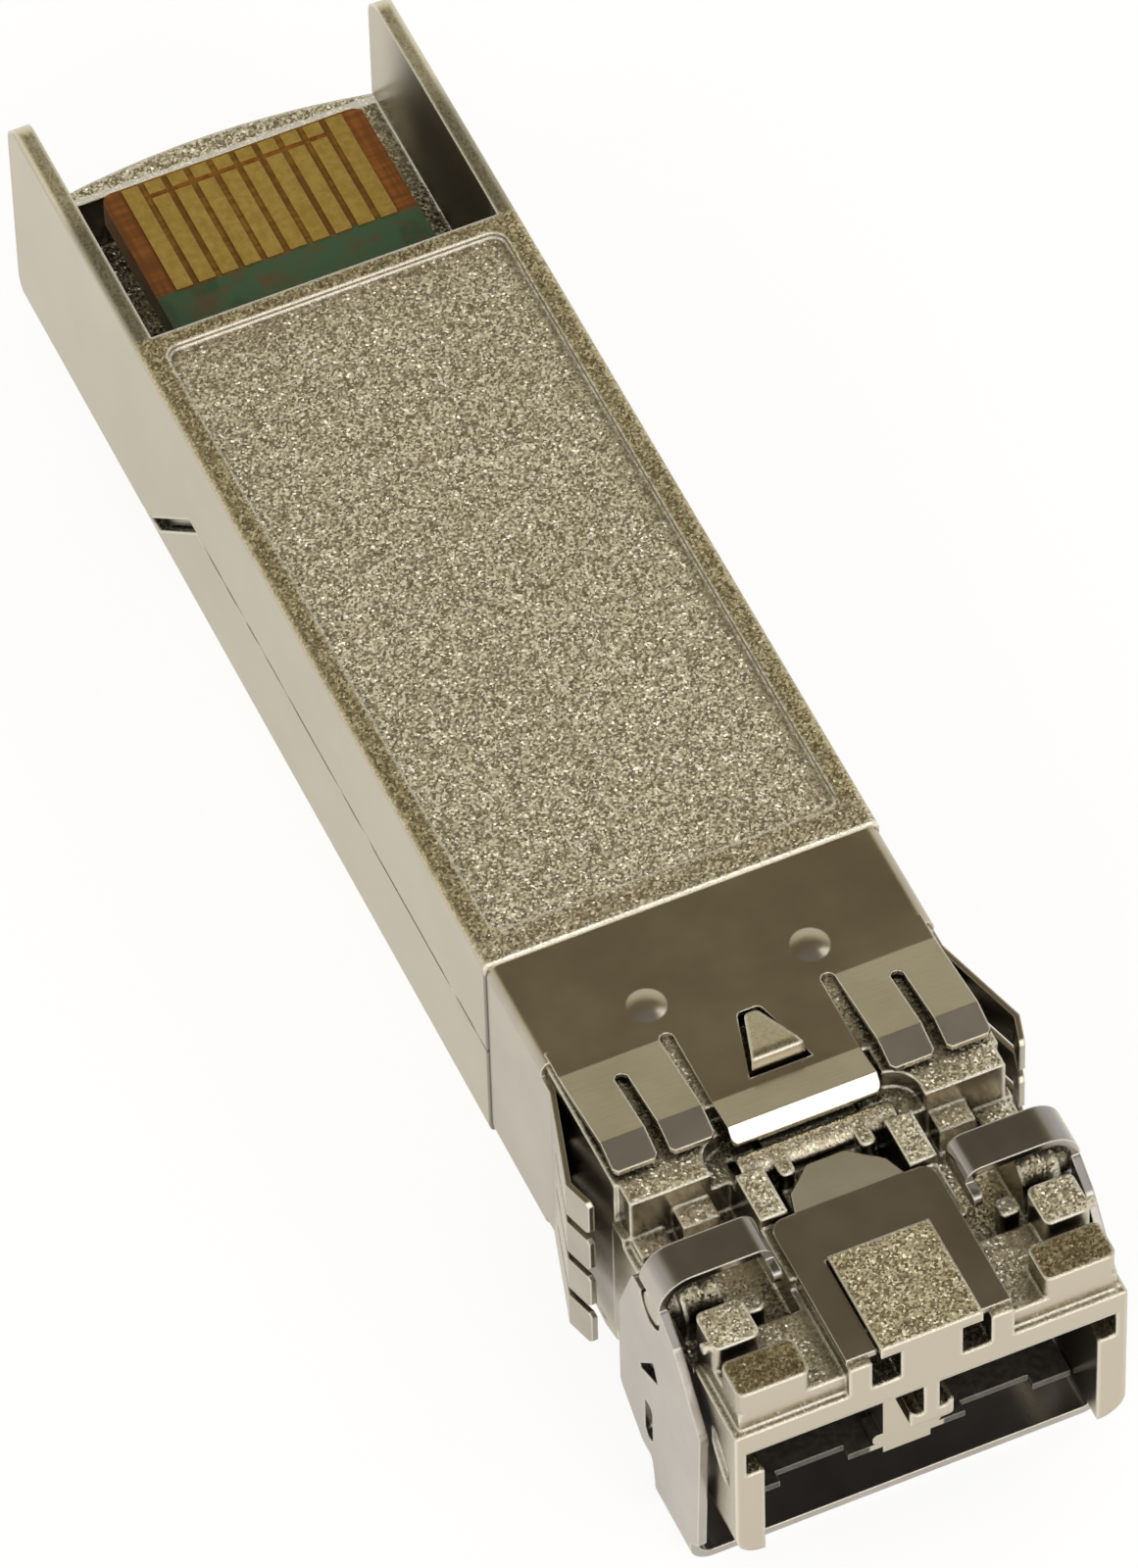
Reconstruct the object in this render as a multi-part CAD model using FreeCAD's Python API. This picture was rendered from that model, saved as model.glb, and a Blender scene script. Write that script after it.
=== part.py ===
"""Pluggable optical transceiver module with a duplex LC port and a bail latch.

Millimetres. While modelling, Y = 0 is the shoulder of the latch boss, Z = 0 is the
face of the cover and the latch face looks up (+Z). The port looks towards -Y and the
card edge towards +Y. On export everything moves so that the origin is the middle of
the underside of the closed module, bail included.
"""
import FreeCAD, Part
import math
import os

Vec = FreeCAD.Vector

# Body envelope: rear and nose lengths start at the latch shoulder
BODY_WIDTH = 13.4
BODY_HEIGHT = 8.5
REAR_LENGTH = 45.0
NOSE_LENGTH = 11.0
WALL = 0.65
ROOF = 0.9
COVER_PLATE = 0.8
FIT_GAP = 0.05
EDGE_ROUND = 0.25

# Rear of the body, round the card edge
OPENING_LENGTH = 10.4
SKIRT_CORNER = 0.9
SHOULDER_DROP = 5.0
SHOULDER_BOW = 0.65
RIM = 0.35
POCKET_DEPTH = 2.4
POCKET_MARGIN = 0.3

# Label recess on the latch face
RECESS_DEPTH = 0.25
RECESS_FRONT_MARGIN = 1.15
RECESS_REAR_MARGIN = 0.6
RECESS_SIDE_MARGIN = 0.8
RECESS_CORNER = 0.5

# Seam between the base and the cover
SEAM_HEIGHT = 4.2
SEAM_FRONT = 1.0
SEAM_OVERRUN = 0.7
SEAM_TOE_LENGTH = 1.9
SEAM_TOE_HEIGHT = 0.5
SEAM_SLOPE_LENGTH = 3.4
SEAM_NOTCH = 0.35

# Ground spring collar
SHIELD_SHEET = 0.2
SHIELD_INSET = 0.25
SHIELD_REAR = 7.1
SHIELD_CORNER_CUT = 3.0
SHIELD_CORNER = 0.45
FINGER_ROOT = 2.35
FINGER_CREST = -0.8
FINGER_TIP = -1.83
FINGER_RISE = 0.5
FINGER_TIP_DROP = 0.3
FINGER_INNER = 2.95
FINGER_EDGE = 0.1
FINGER_SLOT = 0.42
FINGER_SLOT_REAR = 1.6
FINGER_CLIP = 0.14
SIDE_FINGER_RISE = 1.0
SIDE_FINGER_LEAD = 0.25
SIDE_FINGER_MARGIN = 0.4
TOP_FINGERS = 2
SIDE_FINGERS = 4
TAB_HALF_WIDTH = 2.5
TAB_BEND = -0.5
TAB_RISE = 0.2
TAB_LIP = -1.7
TAB_LIP_FRONT = -2.1
TAB_LIP_DROP = 0.45
TAB_CORNER = 0.2
TAB_SLOT_REAR = 2.5
DIMPLE_RADIUS = 0.65
DIMPLE_RISE = 0.12
DIMPLE_X = 2.76
DIMPLE_Y = 3.7
WINDOW_GAP = 0.16

# Optical ports
PORT_PITCH = 6.25
PORT_ROOF_DROP = 2.95
PORT_SIDE = 2.475
PORT_WALL = 0.95
PORT_EAR_WALL = 0.35
PORT_EAR_HEIGHT = 1.15
PORT_EAR_DEPTH = 1.4
KEEL_STEM_HALF = 0.25
KEEL_STEM_LENGTH = 1.4
KEEL_FOOT_HALF = 0.72
KEEL_FOOT_THICK = 0.5
KEEL_FLUKE = 0.25
KEEL_DEPTH = 1.1

# Port insert with the divider and the bulkhead
INSERT_SETBACK = 1.8
INSERT_FLOOR_LOW = 0.1
INSERT_FLOOR_HIGH = 0.65
INSERT_FLOOR_THICK = 0.25
CATCH_WIDTH = 2.3
CATCH_DEPTH = 0.4
DIVIDER_HALF = 0.8
DIVIDER_RIB = 0.35
DIVIDER_RIB_HEIGHT = 0.65
DIVIDER_RIB_THICK = 0.45
BULKHEAD_REAR = -0.2
BULKHEAD_THICK = 1.0

# Nose block: drops are counted down from the latch face
NOSE_FLOOR = 0.3
NOSE_REAR = -2.0
NOSE_SOLID_REAR = 3.5
NOSE_BOTTOM_ROUND = 0.9
BLOCK_DROP = 0.25
BLOCK_HALF_INNER = 3.9
BLOCK_SIDE_LEDGE = 0.25
BLOCK_SETBACK = 0.25
BLOCK_LENGTH = 1.4
BLOCK_ROUND = 0.25
PAD_RISE = 0.2
PAD_HALF_INNER = 4.75
PAD_OVERHANG = 0.45
PAD_LENGTH = 1.5
NUB_RADIUS = 0.18
RIDGE_DROP = 2.0
RAIL_DROP = 1.2
SQUARE_HALF = 1.7
SQUARE_RISE = 0.05
SQUARE_NECK_HALF = 1.02
GROOVE_DROP = 0.65
GROOVE_DEPTH = 1.2
GROOVE_EDGE = 0.75
STEP_DROP = 1.2
STEP_LENGTH = 0.85
STEP_HALF_INNER = 3.7
STEP_HALF_OUTER = 4.9
SILL_DROP = 1.95
SILL_HALF_INNER = 5.2
POST_HALF_INNER = 3.95
POST_SIZE = 0.65
POST_SETBACK = 0.35
POST_DROP = 0.9
SIDE_DISH_DEPTH = 0.2

# Optical subassemblies
BARREL_RADIUS = 1.5
BARREL_LENGTH = 4.2
FLANGE_GAP = 0.15
FLANGE_THICK = 0.8
OSA_BODY_STEP = 0.3
OSA_BODY_LENGTH = 3.2
SLEEVE_RADIUS = 0.85
FERRULE_BORE_RADIUS = 0.625
SLEEVE_SETBACK = 0.2
SLEEVE_LENGTH = 4.2
SLEEVE_SLIT = 0.12
STUB_LENGTH = 1.2
CAN_STEP = 0.2
CAN_LENGTH = 2.0
HEADER_STEP = 0.1
HEADER_THICK = 0.6
CLAMP_THICK = 0.5

# Bail: reaches run forward and trails to the rear of its pivot
BAIL_SHEET = 0.3
BAIL_SIDE_GAP = 0.2
BAIL_RUN_GAP = 0.2
BAIL_INNER_GAP = 0.25
BAIL_PIVOT_Y = -5.9
BAIL_PIVOT_DROP = 1.35
BAIL_STRIP_RISE = 0.5
BAIL_STRIP_REACH = 0.67
BAIL_STRIP_TRAIL = 0.75
BAIL_SHOULDER_BEND = 0.85
BAIL_FLANGE_BEND = 0.25
BAIL_FLANGE_LENGTH = 1.1
BAIL_TIP_REACH = 1.3
BAIL_BAR_HANG = 2.85
BAIL_BAR_REACH = 2.7
BAIL_BAR_DEPTH = 2.6
BAIL_BAR_BEND = 0.5
BAIL_NOTCH_GAP = 0.15
ARM_CORNER = 0.5
ARM_NECK_REACH = 1.7
ARM_BELLY_REACH = 3.55
ARM_BELLY_DROP = 2.4
ARM_CHIN_REACH = 3.25
ARM_CHIN_RISE = 1.55
ARM_HEEL_TRAIL = 0.1
ARM_STEP_TRAIL = 0.8
ARM_STEP_RISE = 2.1
ARM_REAR_TRAIL = 2.4
ARM_REAR_RISE = 3.3
ARM_REAR_DROP = 2.6
ARM_PRONG_TRAIL = 1.3
SLOT_WIDTH = 0.6
SLOT_LENGTH = 1.8
SLOT_RISE = 2.85
LANCE_REACH = 0.5
LANCE_DROP = 4.25
LANCE_SIZE = 1.65
TRUNNION_RADIUS = 0.55
LUG_RADIUS = 1.0
LUG_WIDTH = 1.3

# Latch lever: heights are counted from its pivot
LEVER_PIVOT_Y = -2.65
LEVER_PIVOT_DROP = 1.0
LEVER_BAR_RADIUS = 0.5
LEVER_BAR_HALF = 2.6
LEVER_ARM_HALF = 1.6
LEVER_ARM_UNDER = 0.35
LEVER_ARM_OVER = 0.3
LEVER_ARM_OVERRUN = 0.2
LEVER_TOE_THICK = 0.7
LEVER_TOE_GAP = 0.6
LEVER_TOE_REACH = 0.6
LEVER_LOBE_REACH = 1.0
LEVER_LOBE_INNER = 1.1
LEVER_LOBE_OVER = 0.5
LEVER_WELL_DEPTH = 1.3
LEVER_SIDE_GAP = 0.15
LEVER_END_GAP = 0.3
BAR_RECESS_HALF = 3.6
BAR_RECESS_REAR = -1.55
BAR_RECESS_ROUND = 0.9
BOSS_HEIGHT = 0.45
BOSS_HALF_WIDTH = 0.9
BOSS_LENGTH = 2.1
BOSS_LEAN = 0.1
BOSS_FLAT = 0.3
BOSS_APEX_HALF = 0.22

# Leaf spring over the lever toe
SPRING_SHEET = 0.25
SPRING_SEAT_DROP = 0.7
SPRING_HALF = 2.75
SPRING_LENGTH = 2.05
SPRING_CORNER = 0.5
SPRING_LEG_SETBACK = 0.25
TONGUE_ROOT_HALF = 1.9
TONGUE_WAIST_HALF = 1.6
TONGUE_TIP_HALF = 0.65
TONGUE_GAP = 0.25
TONGUE_LENGTH = 1.7
TONGUE_DROP = 0.3
TONGUE_SHOULDER = 0.8
TONGUE_ROUND = 0.25

# Circuit board and card edge
BOARD_THICK = 1.0
BOARD_DROP = 2.25
BOARD_FRONT = 10.0
BOARD_SETBACK = 2.5
BOARD_SIDE_GAP = 0.25
CARD_EDGE_HALF = 4.6
CARD_EDGE_COVERED = 0.8
CARD_CORNER = 0.4
CONTACTS = 10
CONTACT_PITCH = 0.8
CONTACT_WIDTH = 0.58
CONTACT_PLATE = 0.05
CONTACT_REACH = 4.7
CONTACT_LEAD = 0.8
CONTACT_SPLIT_GAP = 0.18
CONTACT_END_MARGIN = 0.1
RIB_WIDTH = 0.75
RIB_END_MARGIN = 2.0
COVER_POST_LENGTH = 2.0
COVER_POST_SETBACKS = (4.0, 18.0)

# Parts on the board: setback from its front edge, centre X, length, width and height
LASER_DRIVER = (5.0, -2.2, 4.0, 4.0, 0.9)
RECEIVER = (5.0, 2.6, 3.0, 3.0, 0.9)
CONTROLLER = (13.0, 0.0, 5.0, 5.0, 0.9)
MEMORY = (19.5, 2.5, 3.0, 2.0, 0.9)
CAPACITOR_LENGTH = 1.0
CAPACITOR_WIDTH = 0.5
CAPACITOR_PITCH = 1.4
CAPACITOR_SETBACK = 10.6
CAPACITORS = 7
FLEX_THICK = 0.12
FLEX_WIDTH = 3.2
FLEX_LANDING = 2.5
FLEX_OVERHANG = 1.5
FLEX_BEND = 0.4
ABSORBER_FRONT = 18.0
ABSORBER_LENGTH = 8.0
ABSORBER_HALF = 4.0
ABSORBER_THICK = 0.8

# Body values worked out from the sizes above
OUTSIDE = 1.0
BEYOND = 100.0
BODY_HALF = BODY_WIDTH / 2
CAVITY_HALF = BODY_HALF - WALL
ROOF_UNDERSIDE = BODY_HEIGHT - ROOF
NOSE_FRONT = -NOSE_LENGTH
OPENING_EDGE = REAR_LENGTH - OPENING_LENGTH
SHOULDER_TOP = BODY_HEIGHT - SHOULDER_DROP
LIP_REAR = REAR_LENGTH + SHOULDER_BOW
RECESS_FRONT = SHIELD_REAR + RECESS_FRONT_MARGIN
RECESS_REAR = OPENING_EDGE - RECESS_REAR_MARGIN
RECESS_HALF_WIDTH = BODY_HALF - RECESS_SIDE_MARGIN
SEAM_END = OPENING_EDGE + SEAM_OVERRUN
SEAM_TOE = SEAM_END - SEAM_TOE_LENGTH
SEAM_BEND = SEAM_TOE - SEAM_SLOPE_LENGTH

# Collar values
NECK_HALF = BODY_HALF - SHIELD_INSET
NECK_TOP = BODY_HEIGHT - SHIELD_INSET
SHIELD_TOP = NECK_TOP + SHIELD_SHEET
SHIELD_LOW = SHIELD_INSET - SHIELD_SHEET
SHIELD_HALF = NECK_HALF + SHIELD_SHEET
FINGER_OUTER = NECK_HALF - FINGER_EDGE
SIDE_FINGER_LOW = SHIELD_INSET + SIDE_FINGER_MARGIN
SIDE_FINGER_HIGH = NECK_TOP - SIDE_FINGER_MARGIN

# Port and optics values
PORT_X = PORT_PITCH / 2
PORT_TOP = BODY_HEIGHT - PORT_ROOF_DROP
PORT_HALF_WIDTH = PORT_X + PORT_SIDE
PORT_AXIS_HEIGHT = (INSERT_FLOOR_HIGH + PORT_TOP) / 2
NOSE_HALF = PORT_HALF_WIDTH + PORT_WALL
PORT_EAR_HALF_WIDTH = NOSE_HALF - PORT_EAR_WALL
KEEL_FOOT_TOP = PORT_TOP - KEEL_STEM_LENGTH
KEEL_FOOT_BOTTOM = KEEL_FOOT_TOP - KEEL_FOOT_THICK
INSERT_FRONT = NOSE_FRONT + INSERT_SETBACK
BULKHEAD_FRONT = BULKHEAD_REAR - BULKHEAD_THICK
BARREL_FRONT = BULKHEAD_REAR - BARREL_LENGTH
FLANGE_RADIUS = (PORT_TOP - INSERT_FLOOR_HIGH) / 2 - FLANGE_GAP
OSA_BODY_RADIUS = FLANGE_RADIUS - OSA_BODY_STEP
OSA_BODY_REAR = BULKHEAD_REAR + OSA_BODY_LENGTH
CAN_RADIUS = OSA_BODY_RADIUS - CAN_STEP
HEADER_RADIUS = FLANGE_RADIUS - HEADER_STEP

# Bail values
BAIL_PIVOT_Z = BODY_HEIGHT - BAIL_PIVOT_DROP
BAIL_STRIP_TOP = BODY_HEIGHT + BAIL_STRIP_RISE
BAIL_STRIP_FRONT = BAIL_PIVOT_Y - BAIL_STRIP_REACH
BAIL_STRIP_REAR = BAIL_PIVOT_Y + BAIL_STRIP_TRAIL
BAIL_FLANGE_LOW = BAIL_STRIP_TOP - BAIL_FLANGE_LENGTH
BAIL_TIP_FRONT = BAIL_PIVOT_Y - BAIL_TIP_REACH
BAIL_BAR_LOW = -BAIL_BAR_HANG
BAIL_BAR_FRONT = BAIL_PIVOT_Y - BAIL_BAR_REACH
BAIL_BAR_REAR = BAIL_BAR_FRONT + BAIL_BAR_DEPTH
BAIL_SWEEP = math.hypot(BAIL_STRIP_TOP - BAIL_PIVOT_Z, BAIL_STRIP_TRAIL)
ARM_INNER = NOSE_HALF + BAIL_SIDE_GAP
ARM_OUTER = ARM_INNER + BAIL_SHEET
ARM_TOP = BAIL_STRIP_TOP - BAIL_SHOULDER_BEND - BAIL_SHEET
ARM_FOOT = BAIL_BAR_LOW + BAIL_BAR_BEND + 2 * BAIL_SHEET

# Nose values
BLOCK_TOP = BODY_HEIGHT - BLOCK_DROP
BLOCK_HALF_OUTER = NOSE_HALF - BLOCK_SIDE_LEDGE
RIDGE_HEIGHT = BODY_HEIGHT - RIDGE_DROP
RAIL_HEIGHT = BODY_HEIGHT - RAIL_DROP
GROOVE_HEIGHT = BODY_HEIGHT - GROOVE_DROP
POCKET_HALF_INNER = SPRING_HALF + BAIL_RUN_GAP
POCKET_FLOOR = BAIL_PIVOT_Z - BAIL_STRIP_TRAIL - BAIL_RUN_GAP
POCKET_FRONT = BAIL_TIP_FRONT - BAIL_STRIP_TRAIL
BLOCK_FRONT = NOSE_FRONT + BLOCK_SETBACK
BLOCK_REAR = BLOCK_FRONT + BLOCK_LENGTH
PAD_REAR = POCKET_FRONT + PAD_OVERHANG
PAD_FRONT = PAD_REAR - PAD_LENGTH
STEP_FRONT = BAIL_PIVOT_Y + BAIL_SWEEP + BAIL_RUN_GAP
POCKET_REAR = STEP_FRONT + STEP_LENGTH
STEP_HEIGHT = BODY_HEIGHT - STEP_DROP
SILL_HEIGHT = BODY_HEIGHT - SILL_DROP
SILL_HALF_OUTER = BLOCK_HALF_OUTER
POST_FRONT = POCKET_FRONT + POST_SETBACK
POST_HEIGHT = BODY_HEIGHT - POST_DROP
LUG_HALF_OUTER = BLOCK_HALF_OUTER
LUG_HALF_INNER = LUG_HALF_OUTER - LUG_WIDTH
BAIL_STRIP_HALF_INNER = POCKET_HALF_INNER + BAIL_INNER_GAP

# Lever and spring values
LEVER_PIVOT_Z = BODY_HEIGHT - LEVER_PIVOT_DROP
LEVER_ARM_LOW = LEVER_PIVOT_Z - LEVER_ARM_UNDER
LEVER_ARM_HIGH = LEVER_PIVOT_Z + LEVER_ARM_OVER
LEVER_ARM_REAR = BOSS_LENGTH + LEVER_ARM_OVERRUN
SPRING_SEAT = BODY_HEIGHT - SPRING_SEAT_DROP
SPRING_LEG_FRONT = NOSE_FRONT + SPRING_LEG_SETBACK
TONGUE_TIP = LEVER_PIVOT_Y - LEVER_BAR_RADIUS - TONGUE_GAP
SPRING_REAR = TONGUE_TIP - TONGUE_LENGTH
SQUARE_REAR = SPRING_REAR - SPRING_LENGTH
LEVER_TOE_HIGH = SPRING_SEAT - LEVER_TOE_GAP
LEVER_TOE_LOW = LEVER_TOE_HIGH - LEVER_TOE_THICK
LEVER_TOE_FRONT = SPRING_REAR - LEVER_TOE_REACH
LEVER_LOBE_FRONT = LEVER_PIVOT_Y - LEVER_LOBE_REACH
LEVER_LOBE_TOP = LEVER_PIVOT_Z + LEVER_LOBE_OVER
LEVER_WELL_FLOOR = LEVER_PIVOT_Z - LEVER_WELL_DEPTH

# Board values
BOARD_TOP = BODY_HEIGHT - BOARD_DROP
BOARD_UNDERSIDE = BOARD_TOP - BOARD_THICK
BOARD_END = REAR_LENGTH - BOARD_SETBACK
BOARD_HALF = CAVITY_HALF - BOARD_SIDE_GAP
CARD_EDGE_FRONT = OPENING_EDGE - CARD_EDGE_COVERED
CONTACT_FRONT = BOARD_END - CONTACT_REACH
CONTACT_SPLIT = BOARD_END - CONTACT_LEAD
BASE_RIB_FRONT = BOARD_FRONT + RIB_END_MARGIN
BASE_RIB_REAR = CARD_EDGE_FRONT - RIB_END_MARGIN


def box(x0, x1, y0, y1, z0, z1):
    return Part.makeBox(x1 - x0, y1 - y0, z1 - z0, Vec(x0, y0, z0))


def centred_box(half_width, y0, y1, z0, z1):
    return box(-half_width, half_width, y0, y1, z0, z1)


def outline(points, radii):
    """Closed wire through 3-D points, each corner rounded by its own radius."""
    edges = []
    starts = []
    ends = []
    middles = []
    count = len(points)
    for i, corner in enumerate(points):
        radius = radii[i] if isinstance(radii, (list, tuple)) else radii
        to_last = (points[i - 1] - corner).normalize()
        to_next = (points[(i + 1) % count] - corner).normalize()
        half = math.acos(max(-1.0, min(1.0, to_last.dot(to_next)))) / 2
        reach = radius / math.tan(half) if radius else 0.0
        starts.append(corner + to_last * reach)
        ends.append(corner + to_next * reach)
        bisector = (to_last + to_next).normalize() if radius else Vec()
        middles.append(corner + bisector * (radius / math.sin(half) - radius))
    for i in range(count):
        if (starts[i] - ends[i]).Length > 1e-7:
            edges.append(Part.Arc(starts[i], middles[i], ends[i]).toShape())
        following = starts[(i + 1) % count]
        if (ends[i] - following).Length > 1e-7:
            edges.append(Part.makeLine(ends[i], following))
    return Part.Wire(edges)


def prism_x(yz, x0, x1, radii=0.0):
    wire = outline([Vec(x0, y, z) for y, z in yz], radii)
    return Part.Face(wire).extrude(Vec(x1 - x0, 0, 0))


def prism_y(xz, y0, y1, radii=0.0):
    wire = outline([Vec(x, y0, z) for x, z in xz], radii)
    return Part.Face(wire).extrude(Vec(0, y1 - y0, 0))


def prism_z(xy, z0, z1, radii=0.0):
    wire = outline([Vec(x, y, z0) for x, y in xy], radii)
    return Part.Face(wire).extrude(Vec(0, 0, z1 - z0))


def rod_x(radius, x0, x1, y, z):
    return Part.makeCylinder(radius, x1 - x0, Vec(x0, y, z), Vec(1, 0, 0))


def rod_y(radius, y0, y1, x, z):
    return Part.makeCylinder(radius, y1 - y0, Vec(x, y0, z), Vec(0, 1, 0))


def mirrored(shape):
    return shape.mirror(Vec(), Vec(1, 0, 0))


def both_sides(shape):
    return shape.fuse(mirrored(shape))


def sheet_outline(path, thickness, bend):
    """Corner points and radii of a bent sheet that lies to the left of an open 2-D path."""
    offset = []
    for i, (x, z) in enumerate(path):
        normals = []
        for a, b in ((i - 1, i), (i, i + 1)):
            if a < 0 or b >= len(path):
                continue
            dx = path[b][0] - path[a][0]
            dz = path[b][1] - path[a][1]
            length = math.hypot(dx, dz)
            normals.append((-dz / length, dx / length))
        nx = sum(n[0] for n in normals)
        nz = sum(n[1] for n in normals)
        scale = thickness * len(normals) / (nx * nx + nz * nz)
        offset.append((x + nx * scale, z + nz * scale))
    radii = [0.0] * (2 * len(path))
    for i in range(1, len(path) - 1):
        ax = path[i][0] - path[i - 1][0]
        az = path[i][1] - path[i - 1][1]
        bx = path[i + 1][0] - path[i][0]
        bz = path[i + 1][1] - path[i][1]
        turns_left = ax * bz - az * bx > 0
        radii[i] = bend + thickness if turns_left else bend
        radii[-1 - i] = bend if turns_left else bend + thickness
    return list(path) + offset[::-1], radii


def round_edges(shape, radius, wanted):
    """Fillet the straight edges for which wanted(middle, direction) is true."""
    chosen = []
    for edge in shape.Edges:
        if not isinstance(edge.Curve, Part.Line):
            continue
        ends = [v.Point for v in edge.Vertexes]
        direction = (ends[1] - ends[0]).normalize()
        if wanted((ends[0] + ends[1]) * 0.5, direction):
            chosen.append(edge)
    return shape.makeFillet(radius, chosen)


def seam_profile(gap, notch=0.0):
    """Side view of the space under the seam: drawn in by a gap, its slope let out by a notch."""
    slope = math.hypot(SEAM_TOE - SEAM_BEND, SEAM_HEIGHT - SEAM_TOE_HEIGHT)
    shift = (gap - notch) * slope / (SEAM_HEIGHT - SEAM_TOE_HEIGHT)
    return [
        (SEAM_FRONT + gap, -OUTSIDE),
        (SEAM_FRONT + gap, SEAM_HEIGHT - gap),
        (SEAM_BEND - shift, SEAM_HEIGHT - gap),
        (SEAM_TOE - shift, SEAM_TOE_HEIGHT - gap),
        (SEAM_END - gap, -gap),
        (SEAM_END - gap, -OUTSIDE),
    ]


def body_shell():
    """Outer form that the base and the cover share, before the seam parts them."""
    rear = centred_box(BODY_HALF, SHIELD_REAR, REAR_LENGTH, 0, BODY_HEIGHT)
    rear = round_edges(rear, EDGE_ROUND, lambda m, d: abs(d.y) > 0.9)
    skirt_rounding = prism_x(
        [(0, 0), (REAR_LENGTH, 0), (REAR_LENGTH, BODY_HEIGHT), (0, BODY_HEIGHT)],
        -BODY_HALF, BODY_HALF, [0, SKIRT_CORNER, SKIRT_CORNER, 0])
    neck = centred_box(NECK_HALF, NOSE_REAR, SHIELD_REAR, SHIELD_INSET, NECK_TOP)
    return rear.common(skirt_rounding).fuse(neck)


def nose_block():
    """Solid nose with the relief of its upper face, before the ports are cut."""
    floor_corners = [(-NOSE_HALF, NOSE_FLOOR), (NOSE_HALF, NOSE_FLOOR),
                     (NOSE_HALF, RIDGE_HEIGHT), (-NOSE_HALF, RIDGE_HEIGHT)]
    nose = prism_y(floor_corners, NOSE_FRONT, NOSE_REAR,
                   [NOSE_BOTTOM_ROUND, NOSE_BOTTOM_ROUND, 0, 0])
    shelf = centred_box(BLOCK_HALF_OUTER, BLOCK_FRONT, POCKET_FRONT, RIDGE_HEIGHT, RAIL_HEIGHT)
    crown = centred_box(BLOCK_HALF_OUTER, POCKET_FRONT, NOSE_REAR, RIDGE_HEIGHT, BLOCK_TOP)
    leg_room = centred_box(POCKET_HALF_INNER, POCKET_FRONT, SQUARE_REAR, RAIL_HEIGHT, BEYOND)
    nose = nose.fuse([shelf, crown.cut(leg_room), both_sides(corner_block()), both_sides(crown_pad())])
    square = centred_box(SQUARE_HALF, NOSE_FRONT, SQUARE_REAR, RIDGE_HEIGHT, BLOCK_TOP + SQUARE_RISE)
    ledge = centred_box(SPRING_HALF, NOSE_FRONT, SQUARE_REAR, RIDGE_HEIGHT, SPRING_SEAT)
    nose = nose.fuse([square, ledge])
    groove = box(SQUARE_NECK_HALF, SPRING_HALF - GROOVE_EDGE, NOSE_FRONT, NOSE_FRONT + GROOVE_DEPTH,
                 RIDGE_HEIGHT, GROOVE_HEIGHT)
    return nose.cut(both_sides(groove))


def corner_block():
    """Front corner of the crown, rounded in plan."""
    block = box(BLOCK_HALF_INNER, BLOCK_HALF_OUTER, BLOCK_FRONT, BLOCK_REAR, RIDGE_HEIGHT, BLOCK_TOP)
    return round_edges(block, BLOCK_ROUND, lambda m, d: abs(d.z) > 0.9)


def pad_plan(z0, z1):
    corners = [(PAD_HALF_INNER, PAD_FRONT), (BLOCK_HALF_OUTER, PAD_FRONT),
               (BLOCK_HALF_OUTER, PAD_REAR), (PAD_HALF_INNER, PAD_REAR)]
    return prism_z(corners, z0, z1, BLOCK_ROUND)


def crown_pad():
    """Raised pad beside the bail, with a small round nub on its flank."""
    pad = pad_plan(RIDGE_HEIGHT, BLOCK_TOP + PAD_RISE)
    nub = rod_x(NUB_RADIUS, PAD_HALF_INNER + BLOCK_ROUND, NOSE_HALF, PAD_FRONT + 2 * NUB_RADIUS, BLOCK_TOP)
    return pad.fuse(nub)


def latch_cuts():
    """Pockets in the nose that the bail strips, the spring and the lever move in."""
    bail_pocket = box(POCKET_HALF_INNER, BEYOND, POCKET_FRONT, POCKET_REAR, POCKET_FLOOR, BEYOND)
    pad_keep = pad_plan(0, BEYOND)
    step_keep = box(STEP_HALF_INNER, STEP_HALF_OUTER, STEP_FRONT, POCKET_REAR, 0, STEP_HEIGHT)
    sill_keep = box(SILL_HALF_INNER, SILL_HALF_OUTER, STEP_FRONT, POCKET_REAR, 0, SILL_HEIGHT)
    bail_pocket = bail_pocket.cut([pad_keep, step_keep, sill_keep])
    spring_bed = centred_box(POCKET_HALF_INNER, SQUARE_REAR, SPRING_REAR + FIT_GAP, SPRING_SEAT, BEYOND)
    well_half = LEVER_ARM_HALF + LEVER_SIDE_GAP
    well = centred_box(well_half, LEVER_TOE_FRONT - LEVER_SIDE_GAP, LEVER_ARM_REAR + LEVER_END_GAP,
                       LEVER_WELL_FLOOR, BEYOND)
    tongue_half = TONGUE_ROOT_HALF + LEVER_SIDE_GAP
    tongue_bed = centred_box(tongue_half, SPRING_REAR, LEVER_PIVOT_Y, LEVER_WELL_FLOOR, BEYOND)
    bar_half = LEVER_BAR_HALF + LEVER_SIDE_GAP
    cradle = rod_x(LEVER_BAR_RADIUS + FIT_GAP, -bar_half, bar_half, LEVER_PIVOT_Y, LEVER_PIVOT_Z)
    cradle_reach = LEVER_BAR_RADIUS + FIT_GAP
    mouth_front = LEVER_PIVOT_Y - cradle_reach
    recess_corners = [(-BAR_RECESS_HALF, mouth_front), (BAR_RECESS_HALF, mouth_front),
                      (BAR_RECESS_HALF, BAR_RECESS_REAR), (-BAR_RECESS_HALF, BAR_RECESS_REAR)]
    bar_recess = prism_z(recess_corners, LEVER_PIVOT_Z, BEYOND, [0, 0, BAR_RECESS_ROUND, BAR_RECESS_ROUND])
    lip_room = centred_box(bar_half, BAR_RECESS_REAR, TAB_BEND, LEVER_PIVOT_Z, BEYOND)
    return [both_sides(bail_pocket), spring_bed, well, tongue_bed, cradle, bar_recess, lip_room]


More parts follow.
